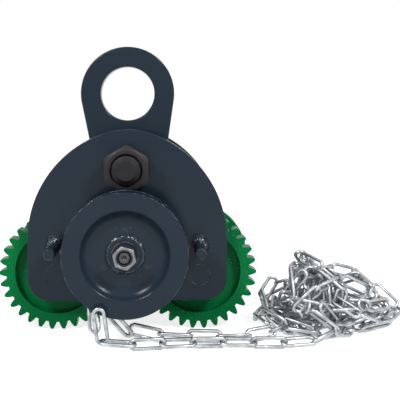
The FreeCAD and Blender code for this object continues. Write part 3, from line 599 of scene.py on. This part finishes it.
def makeOiledSteel(look):
    material, tree, place, shader = startFinish("oiled turned steel")
    film = addNode(tree, "ShaderNodeTexNoise", {
        "Vector": place, "Scale": 1 / look["film"], "Detail": 4.0,
    }).outputs[0]
    marks = addNode(tree, "ShaderNodeTexNoise", {
        "Vector": place, "Scale": 1 / look["mark"], "Detail": 2.0,
    }).outputs[0]
    rounded = edgeOf(tree, look["edge"])[0]
    colour = addNode(tree, "ShaderNodeMix", {0: film, 6: linear(look["colour"]), 7: linear(look["deeper"])},
                     data_type="RGBA").outputs[2]
    rough = addNode(tree, "ShaderNodeMapRange", {
        "Value": film, "From Min": noiseLow, "From Max": noiseHigh,
        "To Min": look["roughness"][0], "To Max": look["roughness"][1],
    }).outputs["Result"]
    normal = addNode(tree, "ShaderNodeBump", {
        "Strength": 1.0, "Distance": look["markDepth"], "Height": marks, "Normal": rounded,
    }).outputs[0]
    feed(tree, shader, {
        "Base Color": colour, "Roughness": rough, "Normal": normal, "Metallic": look["metallic"],
        "Specular IOR Level": look["gloss"],
    })
    return material


finishes = {
    "slate_paint": makeSlateEnamel(slateEnamel),
    "green_paint": makeGreenEnamel(greenEnamel),
    "zinc_chain": makeZincWire(zincWire),
    "black_nut": makeBlackOxide(blackOxide),
    "zinc_plate": makeZincNut(zincNut),
    "nylon": makeNylon(nylon),
    "bronze": makeBronze(bronze),
    "axle_steel": makeAxleSteel(axleSteel),
    "oiled_steel": makeOiledSteel(oiledSteel),
    "bearing_steel": makeBearingSteel(bearingSteel),
}
weldFinish = makeSlateEnamel(weldEnamel)
for subpart in frame["record"]["subparts"]:
    nodeMesh = nodes[subpart["node"]].data
    nodeMesh.materials.clear()
    nodeMesh.materials.append(finishes[subpart["material_slot"]])
print("stage:", len(finishes), "finishes on the CAD nodes")


# load shaft: a rod with a right-hand M30 thread from end to end and chamfered ends
loadShaft = {
    "pitch": 3.5 * mm, "depth": 2.147 * mm, "endRadius": 10.2 * mm, "sides": 48, "joinWithin": 0.01 * mm,
}


def makeLoadShaft(sizes):
    low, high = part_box("load_shaft")
    middle = (low + high) / 2
    crest = (high.z - low.z) / 2
    root = crest - sizes["depth"]
    pitch, sides = sizes["pitch"], sizes["sides"]
    profile = ((0.0, crest), (0.125, crest), (0.4375, root), (0.6875, root))   # shares of one pitch
    turns = int((high.y - low.y) / pitch) + 2
    made = bmesh.new()
    rows = []
    for turn in range(turns):
        for share, radius in profile:
            row = []
            for side in range(sides):
                along = low.y + (turn - 1 + share + side / sides) * pitch
                along = min(max(along, low.y), high.y)
                # the 45 degree end chamfer
                limit = sizes["endRadius"] + min(along - low.y, high.y - along)
                angle = -2 * math.pi * side / sides
                reach = min(radius, limit)
                row.append(made.verts.new((
                    middle.x + reach * math.cos(angle), along, middle.z + reach * math.sin(angle),
                )))
            rows.append(row)
    for number, row in enumerate(rows[:-1]):
        after = rows[number + 1]
        for side in range(sides - 1):
            made.faces.new((row[side], row[side + 1], after[side + 1], after[side]))
        if number + len(profile) + 1 < len(rows):
            nextTurn, nextAfter = rows[number + len(profile)], rows[number + len(profile) + 1]
            made.faces.new((row[-1], nextTurn[0], nextAfter[0], after[-1]))
    bmesh.ops.remove_doubles(made, verts=made.verts, dist=sizes["joinWithin"])
    bmesh.ops.dissolve_degenerate(made, edges=made.edges, dist=sizes["joinWithin"])
    bmesh.ops.holes_fill(made, edges=[e for e in made.edges if e.is_boundary], sides=0)
    mesh = shapedMesh("loadShaftMesh", made, sharpThread)
    return newPiece("loadShaft", mesh, "oiled_steel", "frame", "load_shaft")


makeLoadShaft(loadShaft)


# hex nuts: chamfered both ends, a countersunk bore, corners a little rounded
loadNuts = {
    "flats": 46 * mm, "bore": 15.05 * mm, "sink": 2.4 * mm, "corner": 90, "sides": 72,
    "blunt": 0.965, "face": 0.90,
}
loadNutBodies = {
    "front_outer_load_nut": "frame", "front_inner_load_nut": "frame",
    "rear_inner_load_nut": "rear_carriage", "rear_outer_load_nut": "rear_carriage",
}
hubNut = {
    "flats": 21.6 * mm, "bore": 7.02 * mm, "sink": 0.7 * mm, "corner": 103, "sides": 72,
    "blunt": 0.985, "face": 0.955, "seatRadius": 8.2 * mm, "seatDepth": 5 * mm,
}


def hexNutMesh(name, sizes, middle, backY, frontY):
    # heights run from the back face to the front face, either way along Y
    height = abs(frontY - backY)
    way = 1 if frontY > backY else -1
    half = sizes["flats"] / 2
    tallest = half / math.cos(math.radians(30)) * sizes["blunt"]
    faceRadius = half * sizes["face"]
    slope = math.tan(math.radians(30))
    bore, sink = sizes["bore"], sizes["sink"]
    seat = sizes.get("seatRadius", bore)
    inner = [(seat + sink, height), (seat, height - sink)]
    if seat > bore:
        inner += [(seat, height - sizes["seatDepth"]), (bore, height - sizes["seatDepth"])]
    inner += [(bore, sink), (bore + sink, 0.0)]
    made = bmesh.new()
    loops = []
    for side in range(sizes["sides"]):
        turn = 360 / sizes["sides"] * side
        outer = min(half / math.cos(math.radians(turn % 60 - 30)), tallest)
        drop = max(0.0, outer - faceRadius) * slope
        loop = inner + [(faceRadius, 0.0), (outer, drop), (outer, height - drop), (faceRadius, height)]
        angle = math.radians(sizes["corner"] + turn)
        loops.append([made.verts.new((middle.x + radius * math.cos(angle), backY + way * up,
                                      middle.z + radius * math.sin(angle))) for radius, up in loop])
    for loop, after in zip(loops, loops[1:] + loops[:1]):
        for k in range(len(loop)):
            n = (k + 1) % len(loop)
            made.faces.new((loop[k], loop[n], after[n], after[k]))
    return shapedMesh(name, made, sharpNut)


for node, body in loadNutBodies.items():
    low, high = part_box(node)
    faces = (high.y, low.y) if "front" in node else (low.y, high.y)
    mesh = hexNutMesh(node + "Mesh", loadNuts, middleOf(node), *faces)
    newPiece(node + "_turned", mesh, "black_nut", body, node)
low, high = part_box("hub_lock_nut")
mesh = hexNutMesh("hubNutMesh", hubNut, middleOf("hub_lock_nut"), high.y, low.y)
newPiece("hubNut", mesh, "zinc_plate", "chain_wheel", "hub_lock_nut")

# stud end in the hub nut: a chamfered tip with a turning centre, oily and uneven, radius and height in mm
studTip = {"outline": ((6.3, 0.0), (6.3, 0.5), (5.1, 1.7), (2.6, 1.9), (2.3, 1.5), (0.6, 0.2)), "sides": 48}
studSteel = dict(
    zincNut, name="turned stud steel with oil", bright="#66686B", dull="#252628", mottle=2 * mm,
)


def makeStudTip(sizes):
    middle = middleOf("hub_lock_nut")
    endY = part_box("drive_pinion")[0].y
    made = bmesh.new()
    rings = []
    for radius, up in sizes["outline"]:
        ring = []
        for side in range(sizes["sides"]):
            angle = 2 * math.pi * side / sizes["sides"]
            ring.append(made.verts.new((middle.x + radius * mm * math.cos(angle), endY - up * mm,
                                        middle.z + radius * mm * math.sin(angle))))
        rings.append(ring)
    for ring, after in zip(rings, rings[1:]):
        for k in range(sizes["sides"]):
            n = (k + 1) % sizes["sides"]
            made.faces.new((ring[k], ring[n], after[n], after[k]))
    made.faces.new(rings[0])
    made.faces.new(rings[-1])
    mesh = shapedMesh("studTipMesh", made, sharpNut)
    return newPiece("studTip", mesh, "oiled_steel", "chain_wheel", finish=makeZincNut(studSteel))


makeStudTip(studTip)
print("stage: threaded shaft and nuts")


# weld beads: rippled and lumpy rings, flatter where the weld was started and ended
welds = {
    "left_chain_guide_weld": {
        "body": "frame", "ripples": 15, "lump": 0.50, "gapAt": 250, "gapWidth": 30,
        "thin": 0.6, "heavyAt": 145, "heavy": 0.45,
    },
    "right_chain_guide_weld": {
        "body": "frame", "ripples": 15, "lump": 0.50, "gapAt": 220, "gapWidth": 30,
        "thin": 0.6, "heavyAt": 35, "heavy": 0.45,
    },
    "pinion_sleeve_weld": {
        "body": "frame", "ripples": 34, "lump": 0.22, "gapAt": 250, "gapWidth": 14,
        "thin": 0.7, "heavyAt": 0, "heavy": 0.0,
    },
    "hub_weld": {
        "body": "chain_wheel", "ripples": 30, "lump": 0.26, "gapAt": 90, "gapWidth": 18,
        "thin": 0.35, "heavyAt": 90, "heavy": 0.0,
    },
}
weldShape = {
    "sides": 120, "steps": 9, "bulge": 0.55, "fullness": 0.92, "rippleShare": 0.10, "sunk": 0.15 * mm,
    "lumpSpacing": 5 * mm, "lumpShift": 900, "beadSpacing": 1.5 * mm, "beadDepth": 0.6 * mm,
}


def weldMesh(node, weld, shape):
    low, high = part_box(node)
    middle = (low + high) / 2
    leg = high.y - low.y
    outer = (high.x - low.x) / 2
    rod = outer - leg
    made = bmesh.new()
    rings = []
    for number in range(shape["sides"]):
        turn = 360 / shape["sides"] * number
        angle = math.radians(turn)
        out = Vector((math.cos(angle), 0, math.sin(angle)))
        shift = Vector((rod * shape["lumpShift"], 0, 0))
        lump = noise.noise(out * (rod / shape["lumpSpacing"]) + shift) * weld["lump"]
        ripple = abs(math.sin(angle * weld["ripples"] / 2)) - 0.5
        fromGap = abs((turn - weld["gapAt"] + 180) % 360 - 180)
        closing = min(1.0, fromGap / weld["gapWidth"])
        size = weld["thin"] + (1 - weld["thin"]) * closing * closing * (3 - 2 * closing)
        side = weld["heavy"] * math.cos(math.radians(turn - weld["heavyAt"]))
        size = leg * size * (shape["fullness"] + lump + side + shape["rippleShare"] * ripple)
        ring = []
        for step in range(shape["steps"]):
            share = step / (shape["steps"] - 1)
            bend = share * math.pi / 2
            across = (1 - share) * (1 - shape["bulge"]) + math.cos(bend) * shape["bulge"]
            up = share * (1 - shape["bulge"]) + math.sin(bend) * shape["bulge"]
            place = middle + out * (rod - shape["sunk"] + size * across)
            place.y = high.y + shape["sunk"] - size * up
            bump = noise.noise(place / shape["beadSpacing"])
            bead = bump * shape["beadDepth"] * math.sin(share * math.pi)
            ring.append(made.verts.new(place + (out - Vector((0, 1, 0))) * bead))
        rings.append(ring)
    for ring, after in zip(rings, rings[1:] + rings[:1]):
        for k in range(shape["steps"] - 1):
            made.faces.new((ring[k], ring[k + 1], after[k + 1], after[k]))
    return shapedMesh(node + "Mesh", made, sharpWeld)


for node, weld in welds.items():
    beadMesh = weldMesh(node, weld, weldShape)
    newPiece(node + "_bead", beadMesh, "slate_paint", weld["body"], node, finish=weldFinish)

# plug welds on the dish: low uneven buttons
plugWelds = {
    "count": 3, "circle": 25 * mm, "radius": 4 * mm, "height": 0.6 * mm, "rings": 10, "sides": 32,
    "lump": 0.5, "lumpWaves": 1.4, "lumpShift": 7.0, "spread": 0.8, "dome": 2.4, "fill": 0.7,
    "pitSpacing": 1.3 * mm, "pitDepth": 0.8,
}
plugEnamel = dict(weldEnamel, name="slate enamel sprayed on plug weld", gloss=0.28)


def makePlugWelds(sizes):
    wheelMiddle = middleOf("chain_wheel_front_disc")
    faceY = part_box("centre_plug_welds")[1].y
    made = bmesh.new()
    for number in range(sizes["count"]):
        around = math.radians(90 + 360 / sizes["count"] * number)
        centre = Vector((wheelMiddle.x + sizes["circle"] * math.cos(around), faceY,
                         wheelMiddle.z + sizes["circle"] * math.sin(around)))
        crown = made.verts.new(centre - Vector((0, sizes["height"], 0)))
        before = None
        for ring in range(1, sizes["rings"] + 1):
            share = ring / sizes["rings"]
            row = []
            for side in range(sizes["sides"]):
                angle = 2 * math.pi * side / sizes["sides"]
                out = Vector((math.cos(angle), 0, math.sin(angle)))
                shift = Vector((number * sizes["lumpShift"], 0, 0))
                swell = 1 + sizes["lump"] * noise.noise(out * sizes["lumpWaves"] + shift)
                place = centre + out * sizes["radius"] * sizes["spread"] * share * swell
                pit = sizes["pitDepth"] * noise.noise(place / sizes["pitSpacing"])
                rise = sizes["height"] * (1 - share ** sizes["dome"]) * (sizes["fill"] + pit)
                place.y -= min(rise, sizes["height"])
                row.append(made.verts.new(place))
            for side in range(sizes["sides"]):
                after = (side + 1) % sizes["sides"]
                if before is None:
                    made.faces.new((crown, row[side], row[after]))
                else:
                    made.faces.new((before[side], row[side], row[after], before[after]))
            before = row
    mesh = shapedMesh("plugWeldMesh", made, sharpWeld)
    return newPiece("plugWelds", mesh, "slate_paint", "chain_wheel", "centre_plug_welds",
                    finish=makeSlateEnamel(plugEnamel))


makePlugWelds(plugWelds)
print("stage: weld beads")


# Geometry Nodes: what a tree grows on a carrier becomes one plain mesh

def startTree(name, floats, wholes):
    tree = bpy.data.node_groups.new(name, "GeometryNodeTree")
    face = tree.interface
    face.new_socket("Geometry", in_out="INPUT", socket_type="NodeSocketGeometry")
    for title in floats:
        face.new_socket(title, in_out="INPUT", socket_type="NodeSocketFloat")
    for title in wholes:
        face.new_socket(title, in_out="INPUT", socket_type="NodeSocketInt")
    face.new_socket("Finish", in_out="INPUT", socket_type="NodeSocketMaterial")
    face.new_socket("Geometry", in_out="OUTPUT", socket_type="NodeSocketGeometry")
    return tree, addNode(tree, "NodeGroupInput").outputs


def endTree(tree, given, instances):
    real = addNode(tree, "GeometryNodeRealizeInstances", {"Geometry": instances}).outputs[0]
    smooth = addNode(tree, "GeometryNodeSetShadeSmooth", {
        "Geometry": real, "Shade Smooth": True,
    }).outputs[0]
    coloured = addNode(tree, "GeometryNodeSetMaterial", {
        "Geometry": smooth, "Material": given["Finish"],
    }).outputs[0]
    addNode(tree, "NodeGroupOutput", {"Geometry": coloured})
    return tree


def grown(name, carrierMesh, tree, values):
    carrier = bpy.data.objects.new(name + "Carrier", carrierMesh)
    modifier = carrier.modifiers.new(name, "NODES")
    modifier.node_group = tree
    for item in tree.interface.items_tree:
        if item.in_out == "INPUT" and item.name in values:
            modifier[item.identifier] = values[item.name]
    collection.objects.link(carrier)
    bpy.context.view_layer.update()
    mesh = plainMesh(carrier, name)
    carrier.modifiers.clear()
    bpy.data.objects.remove(carrier)
    return mesh


# weld spatter: small painted-over beads scattered round the welds, one mesh for each body
spatter = {"largest": 0.9 * mm, "smallest": 0.35 * mm, "sunkShare": 0.3, "seed": 5}
spatterSpots = {
    "frame": {
        "nodes": ("left_chain_guide_weld", "right_chain_guide_weld"),
        "from": 8.5 * mm, "to": 15 * mm, "each": 24,
    },
    "chain_wheel": {"nodes": ("hub_weld",), "from": 22.5 * mm, "to": 31 * mm, "each": 14},
}


def spatterTree():
    tree, given = startTree("weldSpatter", ("From", "To", "Smallest", "Largest"), ("Each", "Seed"))
    copies = addNode(tree, "GeometryNodeDuplicateElements", {
        "Geometry": given["Geometry"], "Amount": given["Each"],
    }, domain="POINT").outputs["Geometry"]
    number = addNode(tree, "GeometryNodeInputIndex").outputs[0]
    away = addNode(tree, "FunctionNodeRandomValue", {
        2: given["From"], 3: given["To"], "ID": number, "Seed": given["Seed"],
    }).outputs[1]
    second = addNode(tree, "ShaderNodeMath", {0: given["Seed"], 1: 1.0}, operation="ADD").outputs[0]
    turn = addNode(tree, "FunctionNodeRandomValue", {
        2: 0.0, 3: 2 * math.pi, "ID": number, "Seed": second,
    }).outputs[1]
    across = addNode(tree, "ShaderNodeMath", {0: turn}, operation="COSINE").outputs[0]
    up = addNode(tree, "ShaderNodeMath", {0: turn}, operation="SINE").outputs[0]
    ringPoint = addNode(tree, "ShaderNodeCombineXYZ", {"X": across, "Z": up}).outputs[0]
    offset = addNode(tree, "ShaderNodeVectorMath", {
        0: ringPoint, "Scale": away,
    }, operation="SCALE").outputs[0]
    spread = addNode(tree, "GeometryNodeSetPosition", {"Geometry": copies, "Offset": offset}).outputs[0]
    third = addNode(tree, "ShaderNodeMath", {0: given["Seed"], 1: 2.0}, operation="ADD").outputs[0]
    size = addNode(tree, "FunctionNodeRandomValue", {
        2: given["Smallest"], 3: given["Largest"], "ID": number, "Seed": third,
    }).outputs[1]
    drop = addNode(tree, "GeometryNodeMeshIcoSphere", {"Radius": 1.0, "Subdivisions": 2}).outputs[0]
    placed = addNode(tree, "GeometryNodeInstanceOnPoints", {
        "Points": spread, "Instance": drop, "Scale": size,
    }).outputs[0]
    return endTree(tree, given, placed)


spatterNodes = spatterTree()
for body, spot in spatterSpots.items():
    carrierMesh = bpy.data.meshes.new(body + "SpatterCarrier")
    roots = []
    for node in spot["nodes"]:
        root = middleOf(node)
        root.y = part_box(node)[1].y - spatter["smallest"] * spatter["sunkShare"]
        roots.append(root)
    carrierMesh.from_pydata(roots, [], [])
    mesh = grown(body + "SpatterMesh", carrierMesh, spatterNodes, {
        "From": spot["from"], "To": spot["to"],
        "Smallest": spatter["smallest"], "Largest": spatter["largest"],
        "Each": spot["each"], "Seed": spatter["seed"], "Finish": weldFinish,
    })
    newPiece(body + "Spatter", mesh, "slate_paint", body, finish=weldFinish)
print("stage: weld spatter")


# hand chain: one cord from the rim's front, through the heap, back under the wheel
handChain = {
    "wire": 2.0 * mm, "pitch": 31.0 * mm, "width": 15.0 * mm, "linkStep": 30.4 * mm,
    "wireSides": 6, "ringSteps": 12, "freeLength": 4.66, "lean": 18, "floorRoll": 0.14, "heapRoll": 1.0,
    "heapTilt": 0.25, "hookedWithin": 0.12, "floorShare": 1.25, "clear": 0.1 * mm, "seed": 11,
}
chainHeap = {
    "mounds": [
        {"foot": (0.203, -0.048), "half": (0.046, 0.052, 0.073), "share": 0.38},
        {"foot": (0.244, -0.046), "half": (0.042, 0.048, 0.062), "share": 0.32},
        {"foot": (0.274, -0.040), "half": (0.026, 0.036, 0.038), "share": 0.16},
        {"foot": (0.167, -0.047), "half": (0.021, 0.036, 0.042), "share": 0.14},
    ],
    "floor": 7.7 * mm, "step": 12.5 * mm, "points": 326, "apart": 11.5 * mm, "bend": 37 * mm,
    "rounds": 240, "calmRounds": 80, "stay": 8, "homing": 26, "seed": 33, "aimFrom": 0.3, "sameStrand": 4,
    "part": 0.15, "pull": 0.5, "passes": 4, "chords": (1, 2, 3, 4, 5), "lengthShare": 0.5, "bendShare": 0.2,
}
frontRoute = [
    (-0.0270, -0.1250, 0.0440), (-0.0270, -0.1250, 0.0318), (-0.0224, -0.1249, 0.0208),
    (-0.0140, -0.1246, 0.0124), (-0.0030, -0.1240, 0.0080), (0.0090, -0.1228, 0.0077),
    (0.0251, -0.1205, 0.0076), (0.0500, -0.1188, 0.0076), (0.0800, -0.1178, 0.0076),
    (0.1130, -0.1172, 0.0076), (0.1430, -0.1196, 0.0076), (0.1700, -0.1200, 0.0076),
    (0.1930, -0.1150, 0.0078), (0.2120, -0.1030, 0.0100),
]
rearRoute = [
    (-0.0190, -0.1050, 0.0300), (-0.0060, -0.1030, 0.0215), (0.0080, -0.0985, 0.0135),
    (0.0230, -0.0940, 0.0090), (0.0420, -0.0945, 0.0077), (0.0700, -0.0990, 0.0076),
    (0.0980, -0.1020, 0.0076), (0.1260, -0.1005, 0.0076), (0.1510, -0.0900, 0.0078),
    (0.1700, -0.0720, 0.0090),
]
# the link that hangs out from behind the rim and holds the first link of the cord
rimLink = {"middle": (-0.0320, -0.1108, 0.0345), "along": (0.10, -0.42, -0.90), "roll": -40}
firstLinks = [
    {"middle": (-0.0238, -0.1250, 0.0270), "along": (0.139, 0.0, -0.990), "roll": 0},
    {"middle": (-0.0069, -0.1245, 0.0097), "along": (0.996, 0.020, -0.084), "roll": 90},
]


def heapTurns(heap, start, startRun, end, endRun):
    draw = np.random.RandomState(heap["seed"])
    count, step, bend = heap["points"], heap["step"], heap["bend"]
    feet = np.array([mound["foot"] + (0.0,) for mound in heap["mounds"]])
    halves = np.array([mound["half"] for mound in heap["mounds"]])
    shares = [mound["share"] for mound in heap["mounds"]]
    fixed = [start, start + startRun * step]
    fixedEnd = [end + endRun * step, end]
    # a first line that makes for one random place in the mounds after another and turns no tighter than bend
    points = np.zeros((count, 3))
    points[:2] = fixed
    heading = startRun.copy()
    for n in range(2, count - heap["homing"]):
        if n % heap["stay"] == 2:
            mound = draw.choice(len(shares), p=shares)
            out = draw.normal(0, 1, 3)
            out *= draw.uniform(heap["aimFrom"], 1.0) / np.linalg.norm(out)
            out[2] = abs(out[2])
            aim = feet[mound] + out * halves[mound]
        wish = aim - points[n - 1]
        wish /= np.linalg.norm(wish) + 1e-9
        off = math.acos(float(np.clip(wish @ heading, -1, 1)))
        side = wish - heading * (wish @ heading)
        side /= np.linalg.norm(side) + 1e-9
        turn = min(off, step / bend)
        heading = heading * math.cos(turn) + side * math.sin(turn)
        points[n] = points[n - 1] + step * heading
        points[n][2] = max(points[n][2], heap["floor"])
    # the last stretch swings round to the rear strand
    last = points[count - heap["homing"] - 1]
    swing = heap["homing"] * step
    for n in range(heap["homing"]):
        t = (n + 1) / heap["homing"]
        points[count - heap["homing"] + n] = (
            (1 + 2 * t) * (1 - t) ** 2 * last + t * (1 - t) ** 2 * heading * swing
            + t * t * (3 - 2 * t) * end + t * t * (t - 1) * -endRun * swing)
    points[:, 2] = np.clip(points[:, 2], heap["floor"], None)
    # then it settles: strands part, keep their length, bend softly and stay inside the mounds
    index = np.arange(count)
    near = np.abs(index[:, None] - index[None, :]) <= heap["sameStrand"]
    for turn in range(heap["rounds"] + heap["calmRounds"]):
        calm = max(0.0, 1 - max(0, turn - heap["rounds"]) * 2 / heap["calmRounds"])
        gap = points[:, None, :] - points[None, :, :]
        length = np.linalg.norm(gap, axis=2) + 1e-9
        close = np.where(near, 0.0, np.clip(heap["apart"] - length, 0.0, None))
        points += (gap / length[:, :, None] * close[:, :, None]).sum(1) * heap["part"] * calm
        toMound = (points[:, None, :] - feet[None]) / halves[None]
        toMound[:, :, 2] = np.clip(toMound[:, :, 2], 0.0, None)
        reach = np.linalg.norm(toMound, axis=2)
        best = reach.argmin(1)
        least = reach.min(1)
        out = least > 1
        back = feet[best] + toMound[index, best] / least[:, None] * halves[best]
        points[out] += heap["pull"] * calm * (back[out] - points[out])
        for again in range(heap["passes"]):
            for far in heap["chords"]:
                chord = 2 * bend * math.sin(far * step / (2 * bend))
                run = points[far:] - points[:-far]
                size = np.linalg.norm(run, axis=1)[:, None] + 1e-9
                if far == 1:
                    fix = run * (1 - step / size) * heap["lengthShare"]
                else:
                    fix = np.where(size < chord, run * (1 - chord / size) * heap["bendShare"], 0.0)
                points[:-far] += fix
                points[far:] -= fix
            points[:, 2] = np.clip(points[:, 2], heap["floor"], None)
            points[:2], points[-2:] = fixed, fixedEnd
    return [tuple(p) for p in points[1:-1]]


splineShape = {"steps": 8, "order": 3}


def readSpline(name, points):
    curve = bpy.data.curves.new(name, "CURVE")
    curve.dimensions = "3D"
    curve.resolution_u = splineShape["steps"]
    spline = curve.splines.new("NURBS")
    spline.points.add(len(points) - 1)
    for item, place in zip(spline.points, points):
        item.co = (*place, 1.0)
    spline.order_u = splineShape["order"]
    spline.use_endpoint_u = True
    carrier = bpy.data.objects.new(name, curve)
    collection.objects.link(carrier)
    bpy.context.view_layer.update()
    mesh = plainMesh(carrier, name)
    line = [vertex.co.copy() for vertex in mesh.vertices]
    bpy.data.objects.remove(carrier)
    bpy.data.meshes.remove(mesh)
    bpy.data.curves.remove(curve)
    return line


def runOf(fromPoint, toPoint):
    run = np.array(toPoint) - np.array(fromPoint)
    return run / np.linalg.norm(run)


heapPoints = heapTurns(chainHeap, np.array(frontRoute[-1]), runOf(frontRoute[-2], frontRoute[-1]),
                       np.array(rearRoute[-1]), runOf(rearRoute[-2], rearRoute[-1]))
route = frontRoute + heapPoints + rearRoute[::-1]
chainLine = readSpline("handChainRoute", route)
lengths = [0.0]
for before, after in zip(chainLine, chainLine[1:]):
    lengths.append(lengths[-1] + (after - before).length)
chainLength = lengths[-1]
print("stage: chain line", round(chainLength, 3), "m from", len(route), "points")


def alongChain(distance):
    distance = min(max(distance, 0.0), chainLength)
    k = min(int(np.searchsorted(lengths, distance, side="right")) - 1, len(chainLine) - 2)
    span = lengths[k + 1] - lengths[k]
    return chainLine[k].lerp(chainLine[k + 1], (distance - lengths[k]) / span if span else 0.0)


def linkTurn(along, facing, roll):
    facing = (facing - along * facing.dot(along)).normalized()
    up = Matrix.Rotation(roll, 3, along) @ facing
    return facing, Matrix((along, up.cross(along), up)).transposed()


def linkPlaces(sizes):
    # the first links hang from the rim; after them every other link is turned by a quarter
    draw = random.Random(sizes["seed"])
    half = sizes["pitch"] / 2
    facing = Vector((0, -1, 0))
    places, turns = [], []
    for link in firstLinks:
        along = Vector(link["along"]).normalized()
        facing, turn = linkTurn(along, facing, math.radians(link["roll"]))
        places.append(Vector(link["middle"]))
        turns.append(turn.to_euler())
    hooked = places[-1] + along * half
    nearBy = [at for at in lengths if at < sizes["hookedWithin"]]
    startAt = min(nearBy, key=lambda at: (alongChain(at) - hooked).length)
    count = int((chainLength - startAt) / sizes["linkStep"])
    step = (chainLength - startAt) / count
    bendHalf = sizes["width"] / 2 - sizes["wire"]
    straightHalf = half + sizes["wire"] - bendHalf
    for number in range(count):
        at = startAt + (number + 0.5) * step
        first, last = alongChain(at - half), alongChain(at + half)
        along = (last - first).normalized()
        onFloor = max(first.z, last.z) < sizes["floorShare"] * chainHeap["floor"]
        if not onFloor:
            tilt = sizes["heapTilt"]
            along = (along + Vector([draw.uniform(-tilt, tilt) for axis in range(3)])).normalized()
        loose = sizes["floorRoll"] if onFloor else sizes["heapRoll"]
        roll = math.radians(sizes["lean"] + 90 * (number % 2)) + draw.uniform(-loose, loose)
        facing, turn = linkTurn(along, facing, roll)
        middle = ((first + last) / 2).lerp(alongChain(at), 0.5)
        slope, lying = turn[2][0], turn[2][1]
        lowest = straightHalf * abs(slope) + bendHalf * math.hypot(slope, lying) + sizes["wire"]
        middle.z = max(middle.z, lowest + sizes["clear"])
        places.append(middle)
        turns.append(turn.to_euler())
    return places, turns


def linkTree():
    floats = ("Link length", "Link width", "Wire radius")
    tree, given = startTree("chainLinks", floats, ("Wire sides", "Ring steps"))
    bend = addNode(tree, "ShaderNodeMath", {
        0: given["Link width"], 1: 0.5,
    }, operation="MULTIPLY").outputs[0]
    spare = addNode(tree, "ShaderNodeMath", {0: given["Link length"], 1: given["Link width"]},
                    operation="SUBTRACT").outputs[0]
    straight = addNode(tree, "ShaderNodeMath", {0: spare, 1: 0.5}, operation="MULTIPLY").outputs[0]
    circle = addNode(tree, "GeometryNodeCurvePrimitiveCircle", {
        "Resolution": given["Ring steps"], "Radius": bend,
    }).outputs[0]
    halfStep = addNode(tree, "ShaderNodeMath", {
        0: math.pi, 1: given["Ring steps"],
    }, operation="DIVIDE").outputs[0]
    turned = addNode(tree, "ShaderNodeCombineXYZ", {"Z": halfStep}).outputs[0]
    evened = addNode(tree, "GeometryNodeTransform", {"Geometry": circle, "Rotation": turned}).outputs[0]
    across = addNode(tree, "ShaderNodeSeparateXYZ", {
        0: addNode(tree, "GeometryNodeInputPosition").outputs[0],
    }).outputs["X"]
    side = addNode(tree, "ShaderNodeMath", {0: across}, operation="SIGN").outputs[0]
    apart = addNode(tree, "ShaderNodeMath", {0: side, 1: straight}, operation="MULTIPLY").outputs[0]
    offset = addNode(tree, "ShaderNodeCombineXYZ", {"X": apart}).outputs[0]
    rounded = addNode(tree, "GeometryNodeSetPosition", {"Geometry": evened, "Offset": offset}).outputs[0]
    section = addNode(tree, "GeometryNodeCurvePrimitiveCircle", {
        "Resolution": given["Wire sides"], "Radius": given["Wire radius"],
    }).outputs[0]
    link = addNode(tree, "GeometryNodeCurveToMesh", {"Curve": rounded, "Profile Curve": section}).outputs[0]
    turn = addNode(tree, "GeometryNodeInputNamedAttribute", {
        "Name": "linkTurn",
    }, data_type="FLOAT_VECTOR").outputs[0]
    placed = addNode(tree, "GeometryNodeInstanceOnPoints", {
        "Points": given["Geometry"], "Instance": link, "Rotation": turn,
    }).outputs[0]
    return endTree(tree, given, placed)


def linksMesh(name, centres, turns, tree):
    carrierMesh = bpy.data.meshes.new(name + "Carrier")
    carrierMesh.from_pydata(centres, [], [])
    turnLayer = carrierMesh.attributes.new("linkTurn", "FLOAT_VECTOR", "POINT")
    for item, turn in zip(turnLayer.data, turns):
        item.vector = turn
    return grown(name, carrierMesh, tree, {
        "Link length": handChain["pitch"] + 2 * handChain["wire"],
        "Link width": handChain["width"] - 2 * handChain["wire"],
        "Wire radius": handChain["wire"],
        "Wire sides": handChain["wireSides"],
        "Ring steps": handChain["ringSteps"],
        "Finish": finishes["zinc_chain"],
    })


linkNodes = linkTree()
linkCentres, linkTurns = linkPlaces(handChain)
chainMesh = linksMesh("handChainMesh", linkCentres, linkTurns, linkNodes)
chainPiece = newPiece("handChain", chainMesh, "zinc_chain", "frame",
                      "hand_chain_front_strand", "hand_chain_rear_strand", "hand_chain_heap")
rimAlong = Vector(rimLink["along"]).normalized()
rimTurn = linkTurn(rimAlong, Vector((0, -1, 0)), math.radians(rimLink["roll"]))[1].to_euler()
rimMesh = linksMesh("rimLinkMesh", [rimLink["middle"]], [rimTurn], linkNodes)
newPiece("rimLink", rimMesh, "zinc_chain", "frame")
print("stage: hand chain,", len(linkCentres), "links,", len(chainMesh.polygons), "faces")
